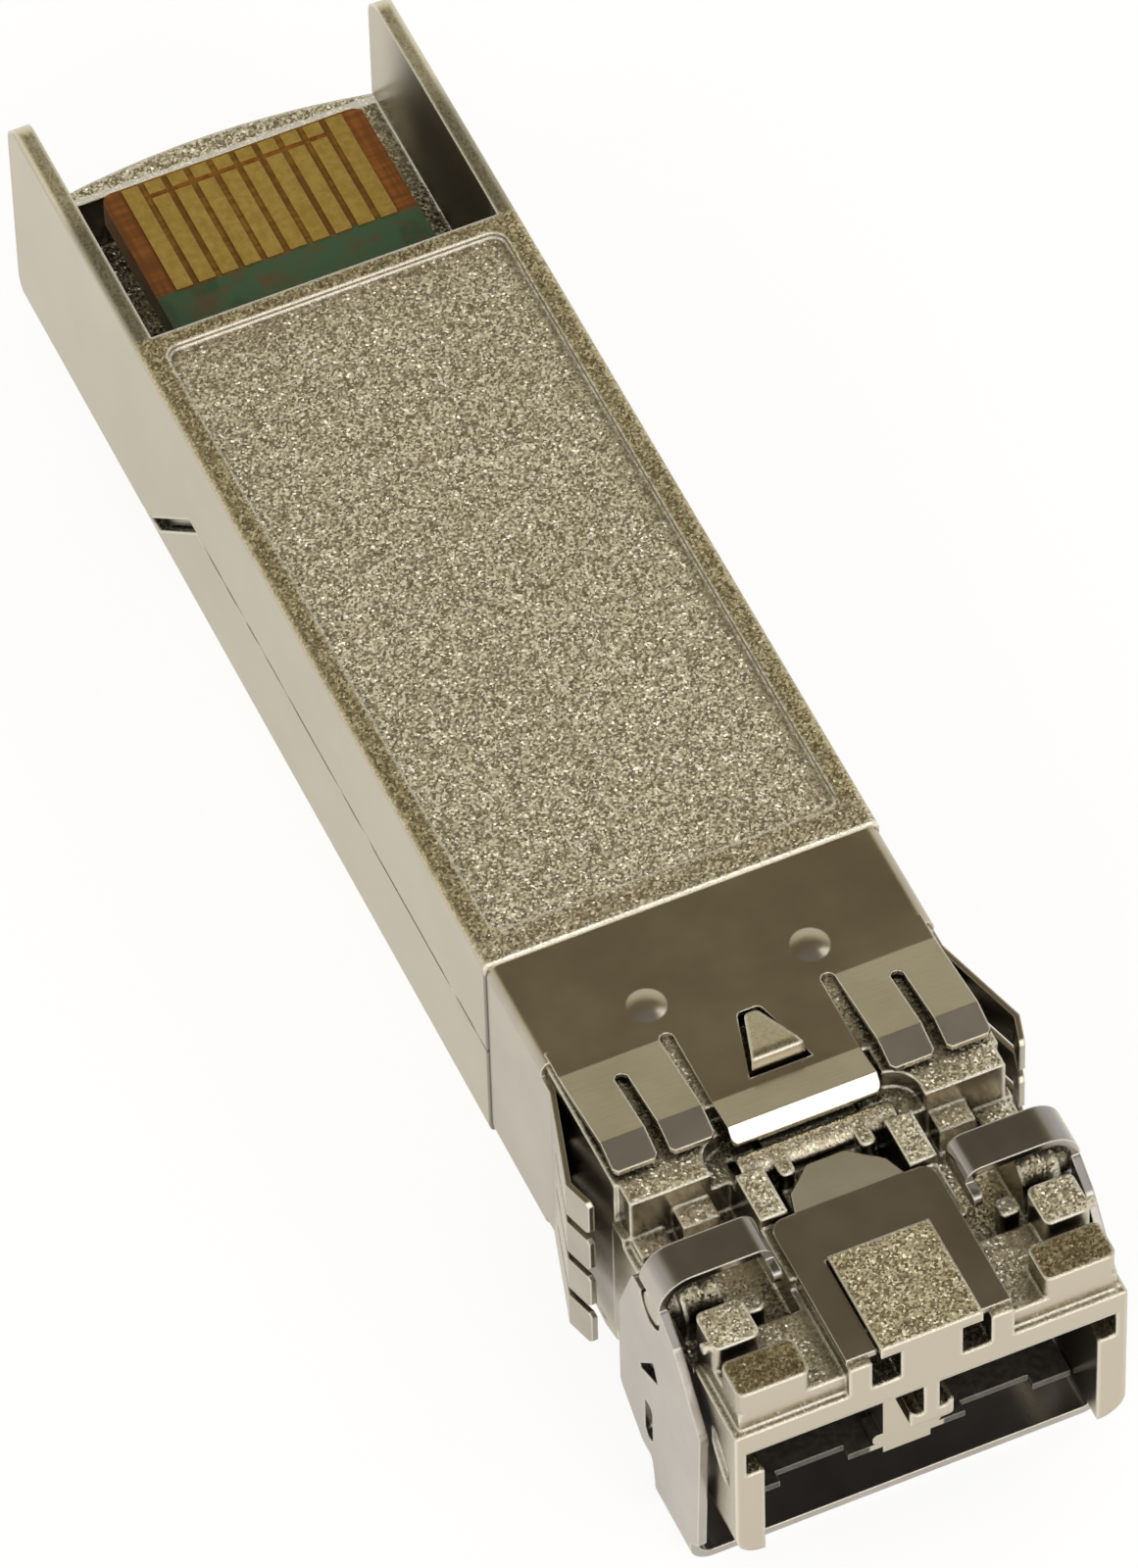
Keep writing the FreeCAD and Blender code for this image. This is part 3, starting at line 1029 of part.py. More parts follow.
os.makedirs("parts", exist_ok=True)
ORIGIN = Vec(0, (LIP_REAR + NOSE_FRONT) / 2, BAIL_BAR_LOW)
for name, shape in NODES.items():
    shape.translate(-ORIGIN)
    shape.exportStep("parts/" + name + ".step")
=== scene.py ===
"""Studio scene of a pluggable optical transceiver module: casting, spring collar and bail."""
import math
from types import SimpleNamespace

import bpy
from mathutils import Matrix, Vector


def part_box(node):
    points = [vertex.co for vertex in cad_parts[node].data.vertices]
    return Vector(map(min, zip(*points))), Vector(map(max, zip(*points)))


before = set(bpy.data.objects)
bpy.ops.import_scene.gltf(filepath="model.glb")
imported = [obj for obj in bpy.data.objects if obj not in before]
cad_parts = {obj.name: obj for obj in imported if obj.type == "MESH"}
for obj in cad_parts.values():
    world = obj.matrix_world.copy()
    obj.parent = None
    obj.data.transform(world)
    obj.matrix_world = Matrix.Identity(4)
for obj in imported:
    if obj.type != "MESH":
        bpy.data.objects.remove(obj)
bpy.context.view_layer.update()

MM = 0.001

# The modelling datum: latch shoulder in Y, cover face in Z
NOSE_LENGTH = 11.0 * MM
DATUM = Vector((0.0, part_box("base_housing")[0][1] + NOSE_LENGTH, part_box("top_cover")[0][2]))
COLLAR_REAR = (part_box("emi_shield")[1][1] - DATUM.y) / MM

# Camera, as the photograph was taken
IMAGE_WIDTH = 1161
IMAGE_HEIGHT = 1600
CAMERA_AZIMUTH = math.radians(-22.833)
CAMERA_ELEVATION = math.radians(52.163)
CAMERA_ROLL = math.radians(-1.813)
CAMERA_DISTANCE = 425.93 * MM
CAMERA_TARGET = Vector((0.0, 16.0 * MM, 4.0 * MM))
PIXELS_PER_METRE = 32.402 / MM
TARGET_PIXEL = (578.05, 793.34)
SENSOR = 36.0
CLIP_START = 0.01
CLIP_END = 20.0

# Floor: its colour in the light it sends back, its veil of shadow and its glow in the picture
FLOOR_HALF = 3.0
FLOOR_PAPER = (0.80, 0.795, 0.785, 1.0)
FLOOR_VEIL = (0.22, 0.22, 0.22, 1.0)
FLOOR_GLOW = 0.86
FLOOR_GLEAM = (1.0, 0.99, 0.97, 1.0)
FLOOR_GLEAM_STRENGTH = 0.42

# Sky from the horizon to the zenith: bright low down, dim and warm overhead
SKY = (
    (0.0, (0.95, 0.94, 0.91, 1.0)),
    (0.28, (0.86, 0.84, 0.77, 1.0)),
    (0.50, (0.78, 0.76, 0.61, 1.0)),
    (0.59, (0.64, 0.62, 0.46, 1.0)),
    (0.71, (0.19, 0.155, 0.085, 1.0)),
    (0.86, (0.20, 0.17, 0.115, 1.0)),
    (1.0, (0.245, 0.235, 0.225, 1.0)),
)

# Lamps: azimuth (0 is the front) and elevation in degrees, distance and size in metres, power in
# watts, colour
LAMPS = {
    "key": (-8.0, 44.0, 0.46, 0.44, 0.60, (1.0, 0.98, 0.95)),
    "front_card": (15.6, 28.0, 0.42, 0.16, 0.10, (1.0, 0.99, 0.97)),
    "left_fill": (-80.0, 38.0, 0.45, 0.20, 0.16, (1.0, 0.97, 0.92)),
    "right_fill": (95.0, 55.0, 0.45, 0.16, 0.12, (0.96, 0.98, 1.0)),
}

# Radii of the edges that shading rounds
CAST_EDGE = 0.21 * MM
SHEET_EDGE = 0.09 * MM
INSERT_EDGE = 0.06 * MM

NICKEL_BRIGHT = (0.93, 0.87, 0.715, 1.0)
NICKEL_DARK = (0.45, 0.39, 0.27, 1.0)
# Painted highlight along the edges and lips of the casting, the sheets and the insert
NICKEL_HIGHLIGHT = (0.90, 0.86, 0.76, 1.0)
FLANK_DARK = (0.505, 0.465, 0.38, 1.0)
FLANK_LIGHT = (0.535, 0.495, 0.405, 1.0)
# Painted light: faces that look to the front are lighter than the flanks
FRONT_FACE = (0.59, 0.535, 0.45, 1.0)
SKIRT_TOP = (0.56, 0.52, 0.41)
BOSS_TOP = (0.40, 0.355, 0.24, 1.0)

# Places on the casting in datum millimetres. Each limit is an axis of Nodes.where, the value where
# the zone has faded out and the value where it is full.
BEHIND_COLLAR = ("along", COLLAR_REAR - 0.2, COLLAR_REAR - 0.1)
CAST_ZONES = {
    "frame_top": (("height", 8.33, 8.42), ("along", 7.0, 7.1), ("along", 34.8, 34.4)),
    "frame_lip": (("height", 8.25, 8.35), BEHIND_COLLAR,
                  ("along", COLLAR_REAR + 0.2, COLLAR_REAR + 0.05)),
    "block_top": (("height", 8.1, 8.2), ("along", -9.1, -9.3), ("across", 3.8, 3.9)),
    "skirt_top": (("height", 8.0, 8.3), ("along", 34.4, 34.8)),
    "rear_bead": (("height", 3.2, 3.4), ("height", 3.9, 3.7),
                  ("along", 44.55, 44.65), ("along", 44.98, 44.84)),
    "boss_top": (("height", 8.4, 8.5), ("along", -0.2, 0.0), ("along", 2.3, 2.2)),
    "square_top": (("height", 8.1, 8.2), ("along", -7.0, -7.3), ("across", 2.3, 2.2)),
    "port": (("across", 5.75, 5.65), ("along", -10.9, -9.0), ("along", 5.0, 4.0),
             ("height", 5.62, 5.56)),
    "bay_wall": (("across", 6.25, 6.15), ("along", 34.7, 35.5), ("height", 1.0, 1.5)),
    "bay_floor": (("height", 3.45, 3.3), ("along", 34.4, 34.8), ("along", 44.5, 44.3),
                  ("across", 5.2, 4.8)),
    "recess_rim": (("across", 6.2, 6.1), ("along", 7.6, 7.8), ("along", 33.6, 33.4),
                   ("height", 8.0, 8.1)),
    "seam": (("height", 4.08, 4.13), ("height", 4.28, 4.23), ("along", 1.0, 1.1),
             ("along", 29.4, 29.2), ("across", 6.0, 6.2)),
    "joint": (BEHIND_COLLAR, ("along", COLLAR_REAR + 0.13, COLLAR_REAR + 0.08),
              ("across", 6.5, 6.6), ("height", 8.2, 8.0)),
}
# Fades along the casting: two places and the values there. The bay wall's and the skirt tops'
# fades are painted shade, darker towards the front; the frame's fade weakens its tint behind the
# collar
BAY_WALL_SHADE_FADE = (44.4, 40.4, 0.0, 1.2)
FRAME_TINT_FADE = (8.1, 8.6, 0.4, 1.0)
SKIRT_SHADE_FADE = (39.2, 41.2, 0.62, 1.28)
# Share of the sparkle that wear takes out of a zone, and out of the edges
CAST_CALM = {"frame_top": 0.25, "skirt_top": 0.95, "boss_top": 0.95, "block_top": 0.45}
EDGE_CALM = 0.7
# How much the flakes tilt on the flanks, and how the rounded lips lean
FLANK_SPARKLE = 0.02
CAST_LEAN = {"frame_lip": (0.0, -0.8, 0.0), "rear_bead": (0.0, 0.6, 0.0)}
# Darker tints of the tops of the frame, the corner blocks and the square pad, set by place
CAST_TOP_TINTS = {
    "frame_tinted": (0.73, 0.69, 0.58),
    "block_top": (0.52, 0.475, 0.375),
    "square_top": (0.86, 0.83, 0.74),
}
# Painted shade taken out of the ports and the bay and out of the crevices, and the darkening
# of the dirt lines
SHADE = 0.64
CREVICE_SHADE = 0.68
CREVICE_SHADE_REACH = 1.5 * MM
DIRT = 0.82

# Other pieces: front lip of the collar's middle tab, which gets a painted highlight, plated front
# of the port divider, laminate between the contacts, and where the solder mask ends
TAB_LIP_HIGHLIGHT = (("along", -1.67, -1.73), ("across", 2.6, 2.5))
PLATED_DIVIDER = (("facing", -0.4, -0.7), ("across", 1.3, 1.2), ("along", -8.9, -9.0))
BETWEEN_CONTACTS = (("pitch", 0.45, 0.65), ("across", 3.4, 3.3))
CONTACT_PITCH = 0.8
MASK_REAR = 37.8
FLEX_PITCH = 0.8 * MM


class Nodes:
    """Short hand for building one node tree."""

    def __init__(self, tree):
        self.tree = tree
        self.tree.nodes.clear()

    def add(self, kind, **settings):
        node = self.tree.nodes.new("ShaderNode" + kind)
        for key, value in settings.items():
            setattr(node, key, value)
        return node

    def link(self, source, target):
        self.tree.links.new(source, target)

    def feed(self, socket, value):
        if isinstance(value, bpy.types.NodeSocket):
            self.link(value, socket)
        else:
            socket.default_value = value

    def math(self, operation, *values):
        node = self.add("Math", operation=operation)
        for socket, value in zip(node.inputs, values):
            self.feed(socket, value)
        return node.outputs[0]

    def fold(self, operation, values):
        """Join any number of values with one operation."""
        first, *others = values
        for other in others:
            first = self.math(operation, first, other)
        return first

    def times(self, *values):
        return self.fold("MULTIPLY", values)

    def most(self, *values):
        return self.fold("MAXIMUM", values)

    def linear(self, value, slope, offset):
        return self.math("MULTIPLY_ADD", value, slope, offset)

    def vector(self, operation, a, b=(0.0, 0.0, 0.0), scale=1.0):
        node = self.add("VectorMath", operation=operation)
        self.feed(node.inputs[0], a)
        self.feed(node.inputs[1], b)
        self.feed(node.inputs[3], scale)
        return node.outputs[1 if operation == "DOT_PRODUCT" else 0]

    def ramp(self, value, low, high, to_low=0.0, to_high=1.0):
        node = self.add("MapRange", interpolation_type="SMOOTHSTEP")
        for socket, number in zip(node.inputs[:5], (value, low, high, to_low, to_high)):
            self.feed(socket, number)
        return node.outputs[0]

    def mix(self, factor, a, b):
        node = self.add("Mix", data_type="RGBA")
        self.feed(node.inputs[0], factor)
        self.feed(node.inputs[6], a)
        self.feed(node.inputs[7], b)
        return node.outputs[2]

    def split(self, vector):
        node = self.add("SeparateXYZ")
        self.link(vector, node.inputs[0])
        return node.outputs[0], node.outputs[1], node.outputs[2]

    def place(self):
        return self.add("TexCoord").outputs["Object"]

    def where(self, place):
        """Datum millimetres from the middle plane, along the module and above the cover face."""
        x, y, z = self.split(place)
        return {
            "across": self.times(self.math("ABSOLUTE", x), 1.0 / MM),
            "along": self.linear(y, 1.0 / MM, -DATUM.y / MM),
            "height": self.linear(z, 1.0 / MM, -DATUM.z / MM),
        }

    def zone(self, axes, limits):
        """Product of soft limits: an axis, the value where it is 0 and the value where it is 1."""
        return self.times(*(self.ramp(axes[axis], out, full) for axis, out, full in limits))

    def level(self, normal, low=0.3, high=0.75):
        """1 on faces that look up or down, 0 on flanks."""
        return self.ramp(self.math("ABSOLUTE", self.split(normal)[2]), low, high)

    def dim(self, colour, mask, share):
        """Take a share of the light out of a colour where the mask is 1."""
        return self.vector("SCALE", colour, scale=self.linear(mask, -share, 1.0))

    def stain(self, colour, mask, tint):
        """Multiply a colour by a tint where the mask is 1."""
        return self.mix(mask, colour, self.vector("MULTIPLY", colour, tint))

    def noise(self, vector, scale, detail=3.0):
        """Cloudy noise with a scale in features to the metre."""
        node = self.add("TexNoise")
        self.feed(node.inputs["Vector"], vector)
        node.inputs["Scale"].default_value = scale
        node.inputs["Detail"].default_value = detail
        node.inputs["Roughness"].default_value = 0.55
        return node.outputs["Fac"]

    def cells(self, vector, scale):
        node = self.add("TexVoronoi")
        self.feed(node.inputs["Vector"], vector)
        node.inputs["Scale"].default_value = scale
        return node

    def stretch(self, vector, scale):
        node = self.add("Mapping")
        self.feed(node.inputs["Vector"], vector)
        node.inputs["Scale"].default_value = scale
        return node.outputs[0]

    def bump(self, height, distance, strength, normal=None):
        node = self.add("Bump")
        node.inputs["Strength"].default_value = strength
        node.inputs["Distance"].default_value = distance
        self.feed(node.inputs["Height"], height)
        if normal is not None:
            self.link(normal, node.inputs["Normal"])
        return node.outputs[0]

    def soft_edges(self, radius):
        """Normal of rounded edges, and a mask that is 1 along them."""
        flat = self.add("NewGeometry").outputs["Normal"]
        bevel = self.add("Bevel", samples=6)
        bevel.inputs["Radius"].default_value = radius
        facing = self.vector("DOT_PRODUCT", bevel.outputs[0], flat)
        return bevel.outputs[0], self.ramp(facing, 0.995, 0.86)


def new_material(name):
    material = bpy.data.materials.new(name)
    material.use_nodes = True
    nodes = Nodes(material.node_tree)
    shader = nodes.add("BsdfPrincipled")
    output = nodes.add("OutputMaterial")
    nodes.link(shader.outputs[0], output.inputs[0])
    return material, nodes, shader


def dress(nodes, shader, colour, roughness, normal=None, metallic=0.0):
    """Feed the shader with what every finish sets."""
    nodes.feed(shader.inputs["Base Color"], colour)
    nodes.feed(shader.inputs["Roughness"], roughness)
    nodes.feed(shader.inputs["Metallic"], metallic)
    if normal is not None:
        nodes.link(normal, shader.inputs["Normal"])


def cast_spot(nodes, grain):
    """What the looks of the casting depend on: place, way it faces, edges, zones and flakes."""
    coord = nodes.add("TexCoord")
    place = coord.outputs["Object"]
    facing = coord.outputs["Normal"]
    axes = nodes.where(place)
    level = nodes.level(facing)
    upright = nodes.math("SUBTRACT", 1.0, level)
    zones = {name: nodes.zone(axes, limits) for name, limits in CAST_ZONES.items()}
    zones["rear_bead"] = nodes.times(zones["rear_bead"], level)
    zones["bay_wall"] = nodes.times(zones["bay_wall"], upright,
                                    nodes.ramp(axes["along"], *BAY_WALL_SHADE_FADE))
    zones["frame_tinted"] = nodes.times(zones["frame_top"],
                                      nodes.ramp(axes["along"], *FRAME_TINT_FADE))
    normal, edge = nodes.soft_edges(CAST_EDGE)
    flakes = nodes.cells(place, 1.0 / grain).outputs["Color"]
    return SimpleNamespace(
        place=place, axes=axes, zones=zones, level=level, normal=normal, edge=edge, flakes=flakes,
        front=nodes.ramp(nodes.split(facing)[1], -0.5, -0.8), tones=nodes.split(flakes),
        shaded=nodes.most(zones["port"], zones["bay_wall"], zones["bay_floor"]))


def cast_normal(nodes, spot, sparkle):
    """Each flake tilts its own way, least on flanks, worn tops and edges; the lips lean outward."""
    calm = [nodes.times(spot.zones[name], share) for name, share in CAST_CALM.items()]
    calm = nodes.most(*calm, nodes.times(spot.edge, EDGE_CALM))
    amount = nodes.times(nodes.linear(spot.level, sparkle, FLANK_SPARKLE),
                         nodes.math("SUBTRACT", 1.0, calm))
    tilt = nodes.vector("SUBTRACT", spot.flakes, (0.5, 0.5, 0.5))
    tilted = nodes.vector("ADD", spot.normal, nodes.vector("SCALE", tilt, scale=amount))
    for name, lean in CAST_LEAN.items():
        tilted = nodes.vector("ADD", tilted, nodes.vector("SCALE", lean, scale=spot.zones[name]))
    return nodes.vector("NORMALIZE", tilted)


def cast_metal(nodes, spot):
    """Clean plating: grainy tops, smooth flanks, front, skirts and latch boss."""
    mottle = nodes.noise(spot.place, 3200.0)
    shade = nodes.linear(mottle, 0.4, nodes.times(spot.tones[0], 0.6))
    grainy = nodes.mix(nodes.ramp(shade, 0.15, 0.8), NICKEL_DARK, NICKEL_BRIGHT)
    # Painted shade: the smooth skirt tops grow darker towards the front
    skirt = nodes.vector("SCALE", SKIRT_TOP, scale=nodes.ramp(spot.axes["along"], *SKIRT_SHADE_FADE))
    grainy = nodes.mix(nodes.times(spot.zones["skirt_top"], 0.9), grainy, skirt)
    grainy = nodes.mix(nodes.times(spot.zones["boss_top"], 0.85), grainy, BOSS_TOP)
    clouds = nodes.noise(spot.place, 260.0)
    smooth = nodes.mix(nodes.ramp(clouds, 0.3, 0.7), FLANK_DARK, FLANK_LIGHT)
    # Painted light: faces that look to the front are lighter than the flanks
    smooth = nodes.mix(spot.front, smooth, FRONT_FACE)
    return nodes.mix(spot.level, smooth, grainy)


def cast_colour(nodes, spot):
    """Plating with tints by place, painted shade, painted highlights on the edges and lips, and
    dirt.
    """
    zones = spot.zones
    colour = cast_metal(nodes, spot)
    for name, tint in CAST_TOP_TINTS.items():
        colour = nodes.stain(colour, nodes.times(zones[name], spot.level), tint)
    # Painted shade: the ports and the walls and floor of the card bay are darkened by place
    colour = nodes.dim(colour, spot.shaded, SHADE)

    # Painted shade: ambient occlusion darkens the colour in corners and crevices, less inside the
    # painted shade of the ports and bay
    cavity = nodes.add("AmbientOcclusion", samples=6)
    cavity.inputs["Distance"].default_value = CREVICE_SHADE_REACH
    crevice_shade = nodes.times(nodes.ramp(cavity.outputs["AO"], 0.84, 0.34),
                          nodes.linear(spot.shaded, -0.5, 1.0))
    colour = nodes.dim(colour, crevice_shade, CREVICE_SHADE)

    # Painted highlight: the edges, the frame's lip behind the collar and the rear bead are
    # lightened, less in the painted shade and with gaps along the recess rim
    highlight_gaps = nodes.times(nodes.ramp(nodes.noise(spot.place, 5200.0, 2.0), 0.58, 0.44),
                          zones["recess_rim"])
    rim = nodes.times(spot.edge, nodes.linear(spot.shaded, -0.56, 0.85),
                      nodes.linear(highlight_gaps, -0.8, 1.0))
    bright = nodes.most(rim, zones["frame_lip"], zones["rear_bead"])
    colour = nodes.mix(bright, colour, NICKEL_HIGHLIGHT)

    streaks = nodes.noise(nodes.stretch(spot.place, (1.0, 0.25, 1.0)), 2400.0, 2.0)
    dirt = nodes.most(nodes.times(zones["seam"], nodes.ramp(streaks, 0.33, 0.52)),
                      nodes.times(zones["joint"], 0.7))
    return nodes.dim(colour, dirt, DIRT)


def cast_nickel(name, grain, sparkle):
    """Plated die casting: sparkling grain on the faces that look up or down, smooth flanks.

    The tops of the frame, the corner blocks and the square pad get darker tints by place, the
    skirts and the latch boss are smooth. Painted shade darkens the ports, the card bay, the
    crevices and the front of the skirt tops, and painted highlights lighten the edges and lips.
    Dirt darkens the seam and the joint behind the collar.
    """
    material, nodes, shader = new_material(name)
    spot = cast_spot(nodes, grain)
    rough = nodes.linear(nodes.times(spot.tones[1], spot.level), 0.2, 0.24)
    rough = nodes.times(rough, nodes.linear(spot.edge, -0.5, 1.0))
    rough = nodes.linear(spot.zones["bay_wall"], 0.2, rough)
    dress(nodes, shader, cast_colour(nodes, spot), rough, cast_normal(nodes, spot, sparkle), 1.0)
    return material


def sheet_nickel(name, top, side, roughness, grain, lip=None):
    """Plated spring sheet: rolling lines, cloudy reflections, own colours for tops and sides,
    painted highlights along the edges and on the lip.
    """
    material, nodes, shader = new_material(name)
    coord = nodes.add("TexCoord")
    place = coord.outputs["Object"]
    level = nodes.level(coord.outputs["Normal"], 0.45, 0.8)
    normal, edge = nodes.soft_edges(SHEET_EDGE)
    rolled = nodes.noise(nodes.stretch(place, grain), 9000.0)
    clouds = nodes.noise(place, 420.0)
    pits = nodes.noise(place, 5200.0, 2.0)
    # Painted light: tops and sides of one sheet get their own colours; the darker tops of the bail
    # and the spring are painted shade
    colour = nodes.mix(level, side, top)
    colour = nodes.dim(colour, nodes.ramp(clouds, 0.75, 0.25), 0.16)
    # Painted highlight along the edges and on the lip
    bright = nodes.times(edge, 0.8)
    if lip is not None:
        bright = nodes.most(bright, nodes.zone(nodes.where(place), lip))
    colour = nodes.mix(bright, colour, NICKEL_HIGHLIGHT)
    relief = nodes.linear(rolled, 0.6, nodes.times(pits, 0.4))
    dress(nodes, shader, colour, nodes.linear(clouds, 0.12, roughness - 0.06),
          nodes.bump(relief, 0.004 * MM, 0.6, normal), 1.0)
    return material


def port_mould(name):
    """Port insert, painted dark for the shade in the ports.

    The front of the divider is plated like the casting.
    """
    material, nodes, shader = new_material(name)
    coord = nodes.add("TexCoord")
    place = coord.outputs["Object"]
    axes = nodes.where(place)
    axes["facing"] = nodes.split(coord.outputs["Normal"])[1]
    normal, edge = nodes.soft_edges(INSERT_EDGE)
    grain = nodes.noise(place, 4200.0)
    # Painted shade: near-black colour for the shade inside the ports
    dark = nodes.mix(nodes.ramp(grain, 0.3, 0.7),
                     (0.075, 0.066, 0.058, 1.0), (0.125, 0.112, 0.10, 1.0))
    plated = nodes.zone(axes, PLATED_DIVIDER)
    colour = nodes.mix(plated, dark, (0.62, 0.57, 0.47, 1.0))
    # Painted highlight along the insert's edges
    colour = nodes.mix(nodes.times(edge, 0.35), colour, NICKEL_HIGHLIGHT)
    dress(nodes, shader, colour, nodes.linear(grain, 0.16, 0.28),
          nodes.bump(grain, 0.004 * MM, 0.5, normal), nodes.linear(plated, 0.5, 0.5))
    return material


def turned_steel(name):
    """Lathe-turned steel with fine rings round the barrel axis."""
    material, nodes, shader = new_material(name)
    place = nodes.place()
    rings = nodes.noise(nodes.stretch(place, (0.02, 1.0, 0.02)), 16000.0, 2.0)
    tarnish = nodes.ramp(nodes.noise(place, 500.0), 0.3, 0.7)
    colour = nodes.mix(tarnish, (0.50, 0.49, 0.47, 1.0), (0.63, 0.62, 0.60, 1.0))
    dress(nodes, shader, colour, nodes.linear(rings, 0.15, 0.2),
          nodes.bump(rings, 0.003 * MM, 0.7), 1.0)
    return material


def fine_ceramic(name):
    """White ceramic that lets a little light in."""
    material, nodes, shader = new_material(name)
    cloud = nodes.noise(nodes.place(), 1500.0)
    colour = nodes.mix(cloud, (0.84, 0.83, 0.79, 1.0), (0.93, 0.92, 0.89, 1.0))
    dress(nodes, shader, colour, nodes.linear(cloud, 0.1, 0.2))
    shader.inputs["Subsurface Weight"].default_value = 0.1
    shader.inputs["Subsurface Radius"].default_value = (0.4 * MM, 0.35 * MM, 0.3 * MM)
    return material


def lens_glass(name):
    """Dark lens with a violet coating."""
    material, nodes, shader = new_material(name)
    haze = nodes.noise(nodes.place(), 2500.0, 2.0)
    colour = nodes.mix(haze, (0.10, 0.11, 0.16, 1.0), (0.16, 0.15, 0.20, 1.0))
    dress(nodes, shader, colour, nodes.linear(haze, 0.04, 0.02))
    shader.inputs["Coat Weight"].default_value = 1.0
    shader.inputs["Coat Tint"].default_value = (0.75, 0.65, 0.95, 1.0)
    return material


def board_laminate(name):
    """Glass-fibre board: bare brown laminate at the card edge, green mask over copper before it."""
    material, nodes, shader = new_material(name)
    place = nodes.place()
    axes = nodes.where(place)
    axes["pitch"] = nodes.math("COSINE", nodes.times(axes["across"], 2 * math.pi / CONTACT_PITCH))
    weave_x = nodes.noise(nodes.stretch(place, (1.0, 0.05, 0.05)), 5200.0, 1.0)
    weave_y = nodes.noise(nodes.stretch(place, (0.05, 1.0, 0.05)), 5200.0, 1.0)
    weave = nodes.times(weave_x, weave_y)
    laminate = nodes.mix(nodes.ramp(weave, 0.15, 0.4),
                         (0.20, 0.062, 0.007, 1.0), (0.34, 0.112, 0.012, 1.0))
    laminate = nodes.stain(laminate, nodes.zone(axes, BETWEEN_CONTACTS), (0.80, 1.10, 0.60))
    traces = nodes.cells(nodes.stretch(place, (1.0, 0.6, 1.0)), 750.0)
    copper = nodes.ramp(traces.outputs["Distance"], 0.25, 0.4)
    mask = nodes.mix(copper, (0.040, 0.099, 0.048, 1.0), (0.060, 0.134, 0.069, 1.0))
    thin = nodes.ramp(nodes.noise(place, 1100.0), 0.42, 0.7)
    mask = nodes.mix(thin, mask, (0.125, 0.095, 0.04, 1.0))
    ragged = nodes.linear(nodes.noise(place, 1400.0, 2.0), 0.5, axes["along"])
    masked = nodes.ramp(ragged, MASK_REAR + 0.3, MASK_REAR + 0.2)
    dress(nodes, shader, nodes.mix(masked, laminate, mask), nodes.linear(weave, 0.3, 0.3),
          nodes.bump(weave, 0.01 * MM, 0.5))
    return material


def gold_plate(name):
    """Gold contacts with fine wipe marks along them."""
    material, nodes, shader = new_material(name)
    place = nodes.place()
    wipe = nodes.noise(nodes.stretch(place, (1.0, 0.06, 1.0)), 9000.0)
    grain = nodes.noise(place, 4200.0)
    colour = nodes.mix(nodes.ramp(grain, 0.3, 0.7),
                       (0.61, 0.42, 0.11, 1.0), (0.74, 0.53, 0.16, 1.0))
    relief = nodes.math("ADD", wipe, grain)
    dress(nodes, shader, colour, nodes.linear(wipe, 0.2, 0.32),
          nodes.bump(relief, 0.003 * MM, 0.5), 1.0)
    return material


def flex_film(name):
    """Amber film with the stripes of its conductors."""
    material, nodes, shader = new_material(name)
    place = nodes.place()
    stripes = nodes.math("SINE", nodes.times(nodes.split(place)[0], 2 * math.pi / FLEX_PITCH))
    cloud = nodes.noise(place, 1200.0)
    film = nodes.mix(cloud, (0.42, 0.17, 0.03, 1.0), (0.55, 0.26, 0.06, 1.0))
    colour = nodes.mix(nodes.ramp(stripes, 0.5, 0.7), film, (0.62, 0.36, 0.12, 1.0))
    dress(nodes, shader, colour, nodes.linear(cloud, 0.15, 0.25),
          nodes.bump(stripes, 0.01 * MM, 0.5))
    return material


def matte(name, dark, light, scale, depth, roughness):
    """Moulded or pressed material with a fine grain."""
    material, nodes, shader = new_material(name)
    grain = nodes.noise(nodes.place(), scale, 4.0)
    dress(nodes, shader, nodes.mix(nodes.ramp(grain, 0.3, 0.7), dark, light),
          nodes.linear(grain, 0.2, roughness), nodes.bump(grain, depth, 0.7))
    return material


CAST = cast_nickel("cast_nickel", grain=0.072 * MM, sparkle=0.60)
CAST_LEVER = cast_nickel("cast_lever", grain=0.06 * MM, sparkle=0.45)
PORT = port_mould("port_mould")
COLLAR = sheet_nickel("collar_sheet", top=(0.54, 0.49, 0.40, 1.0), side=(0.53, 0.49, 0.43, 1.0),
                      roughness=0.23, grain=(0.08, 1.0, 1.0), lip=TAB_LIP_HIGHLIGHT)
# The tops of the bail and the spring are painted darker than their sides: painted shade
BAIL = sheet_nickel("bail_sheet", top=(0.36, 0.345, 0.345, 1.0), side=(0.535, 0.50, 0.47, 1.0),
                    roughness=0.22, grain=(1.0, 0.08, 0.3))
LEAF = sheet_nickel("leaf_sheet", top=(0.42, 0.375, 0.33, 1.0), side=(0.50, 0.46, 0.40, 1.0),
                    roughness=0.24, grain=(0.08, 1.0, 1.0))
STEEL = turned_steel("turned_steel")
CERAMIC = fine_ceramic("fine_ceramic")
GLASS = lens_glass("lens_glass")
LAMINATE = board_laminate("board_laminate")
GOLD = gold_plate("gold_plate")
FILM = flex_film("flex_film")
RESIN = matte("chip_resin", dark=(0.018, 0.018, 0.020, 1.0), light=(0.045, 0.045, 0.048, 1.0),
              scale=7000.0, depth=0.008 * MM, roughness=0.45)
CAPACITOR = matte("capacitor_body", dark=(0.30, 0.20, 0.11, 1.0), light=(0.42, 0.30, 0.18, 1.0),
                  scale=4000.0, depth=0.006 * MM, roughness=0.4)
PAD = matte("soft_pad", dark=(0.27, 0.30, 0.33, 1.0), light=(0.38, 0.41, 0.44, 1.0),
            scale=2600.0, depth=0.03 * MM, roughness=0.7)

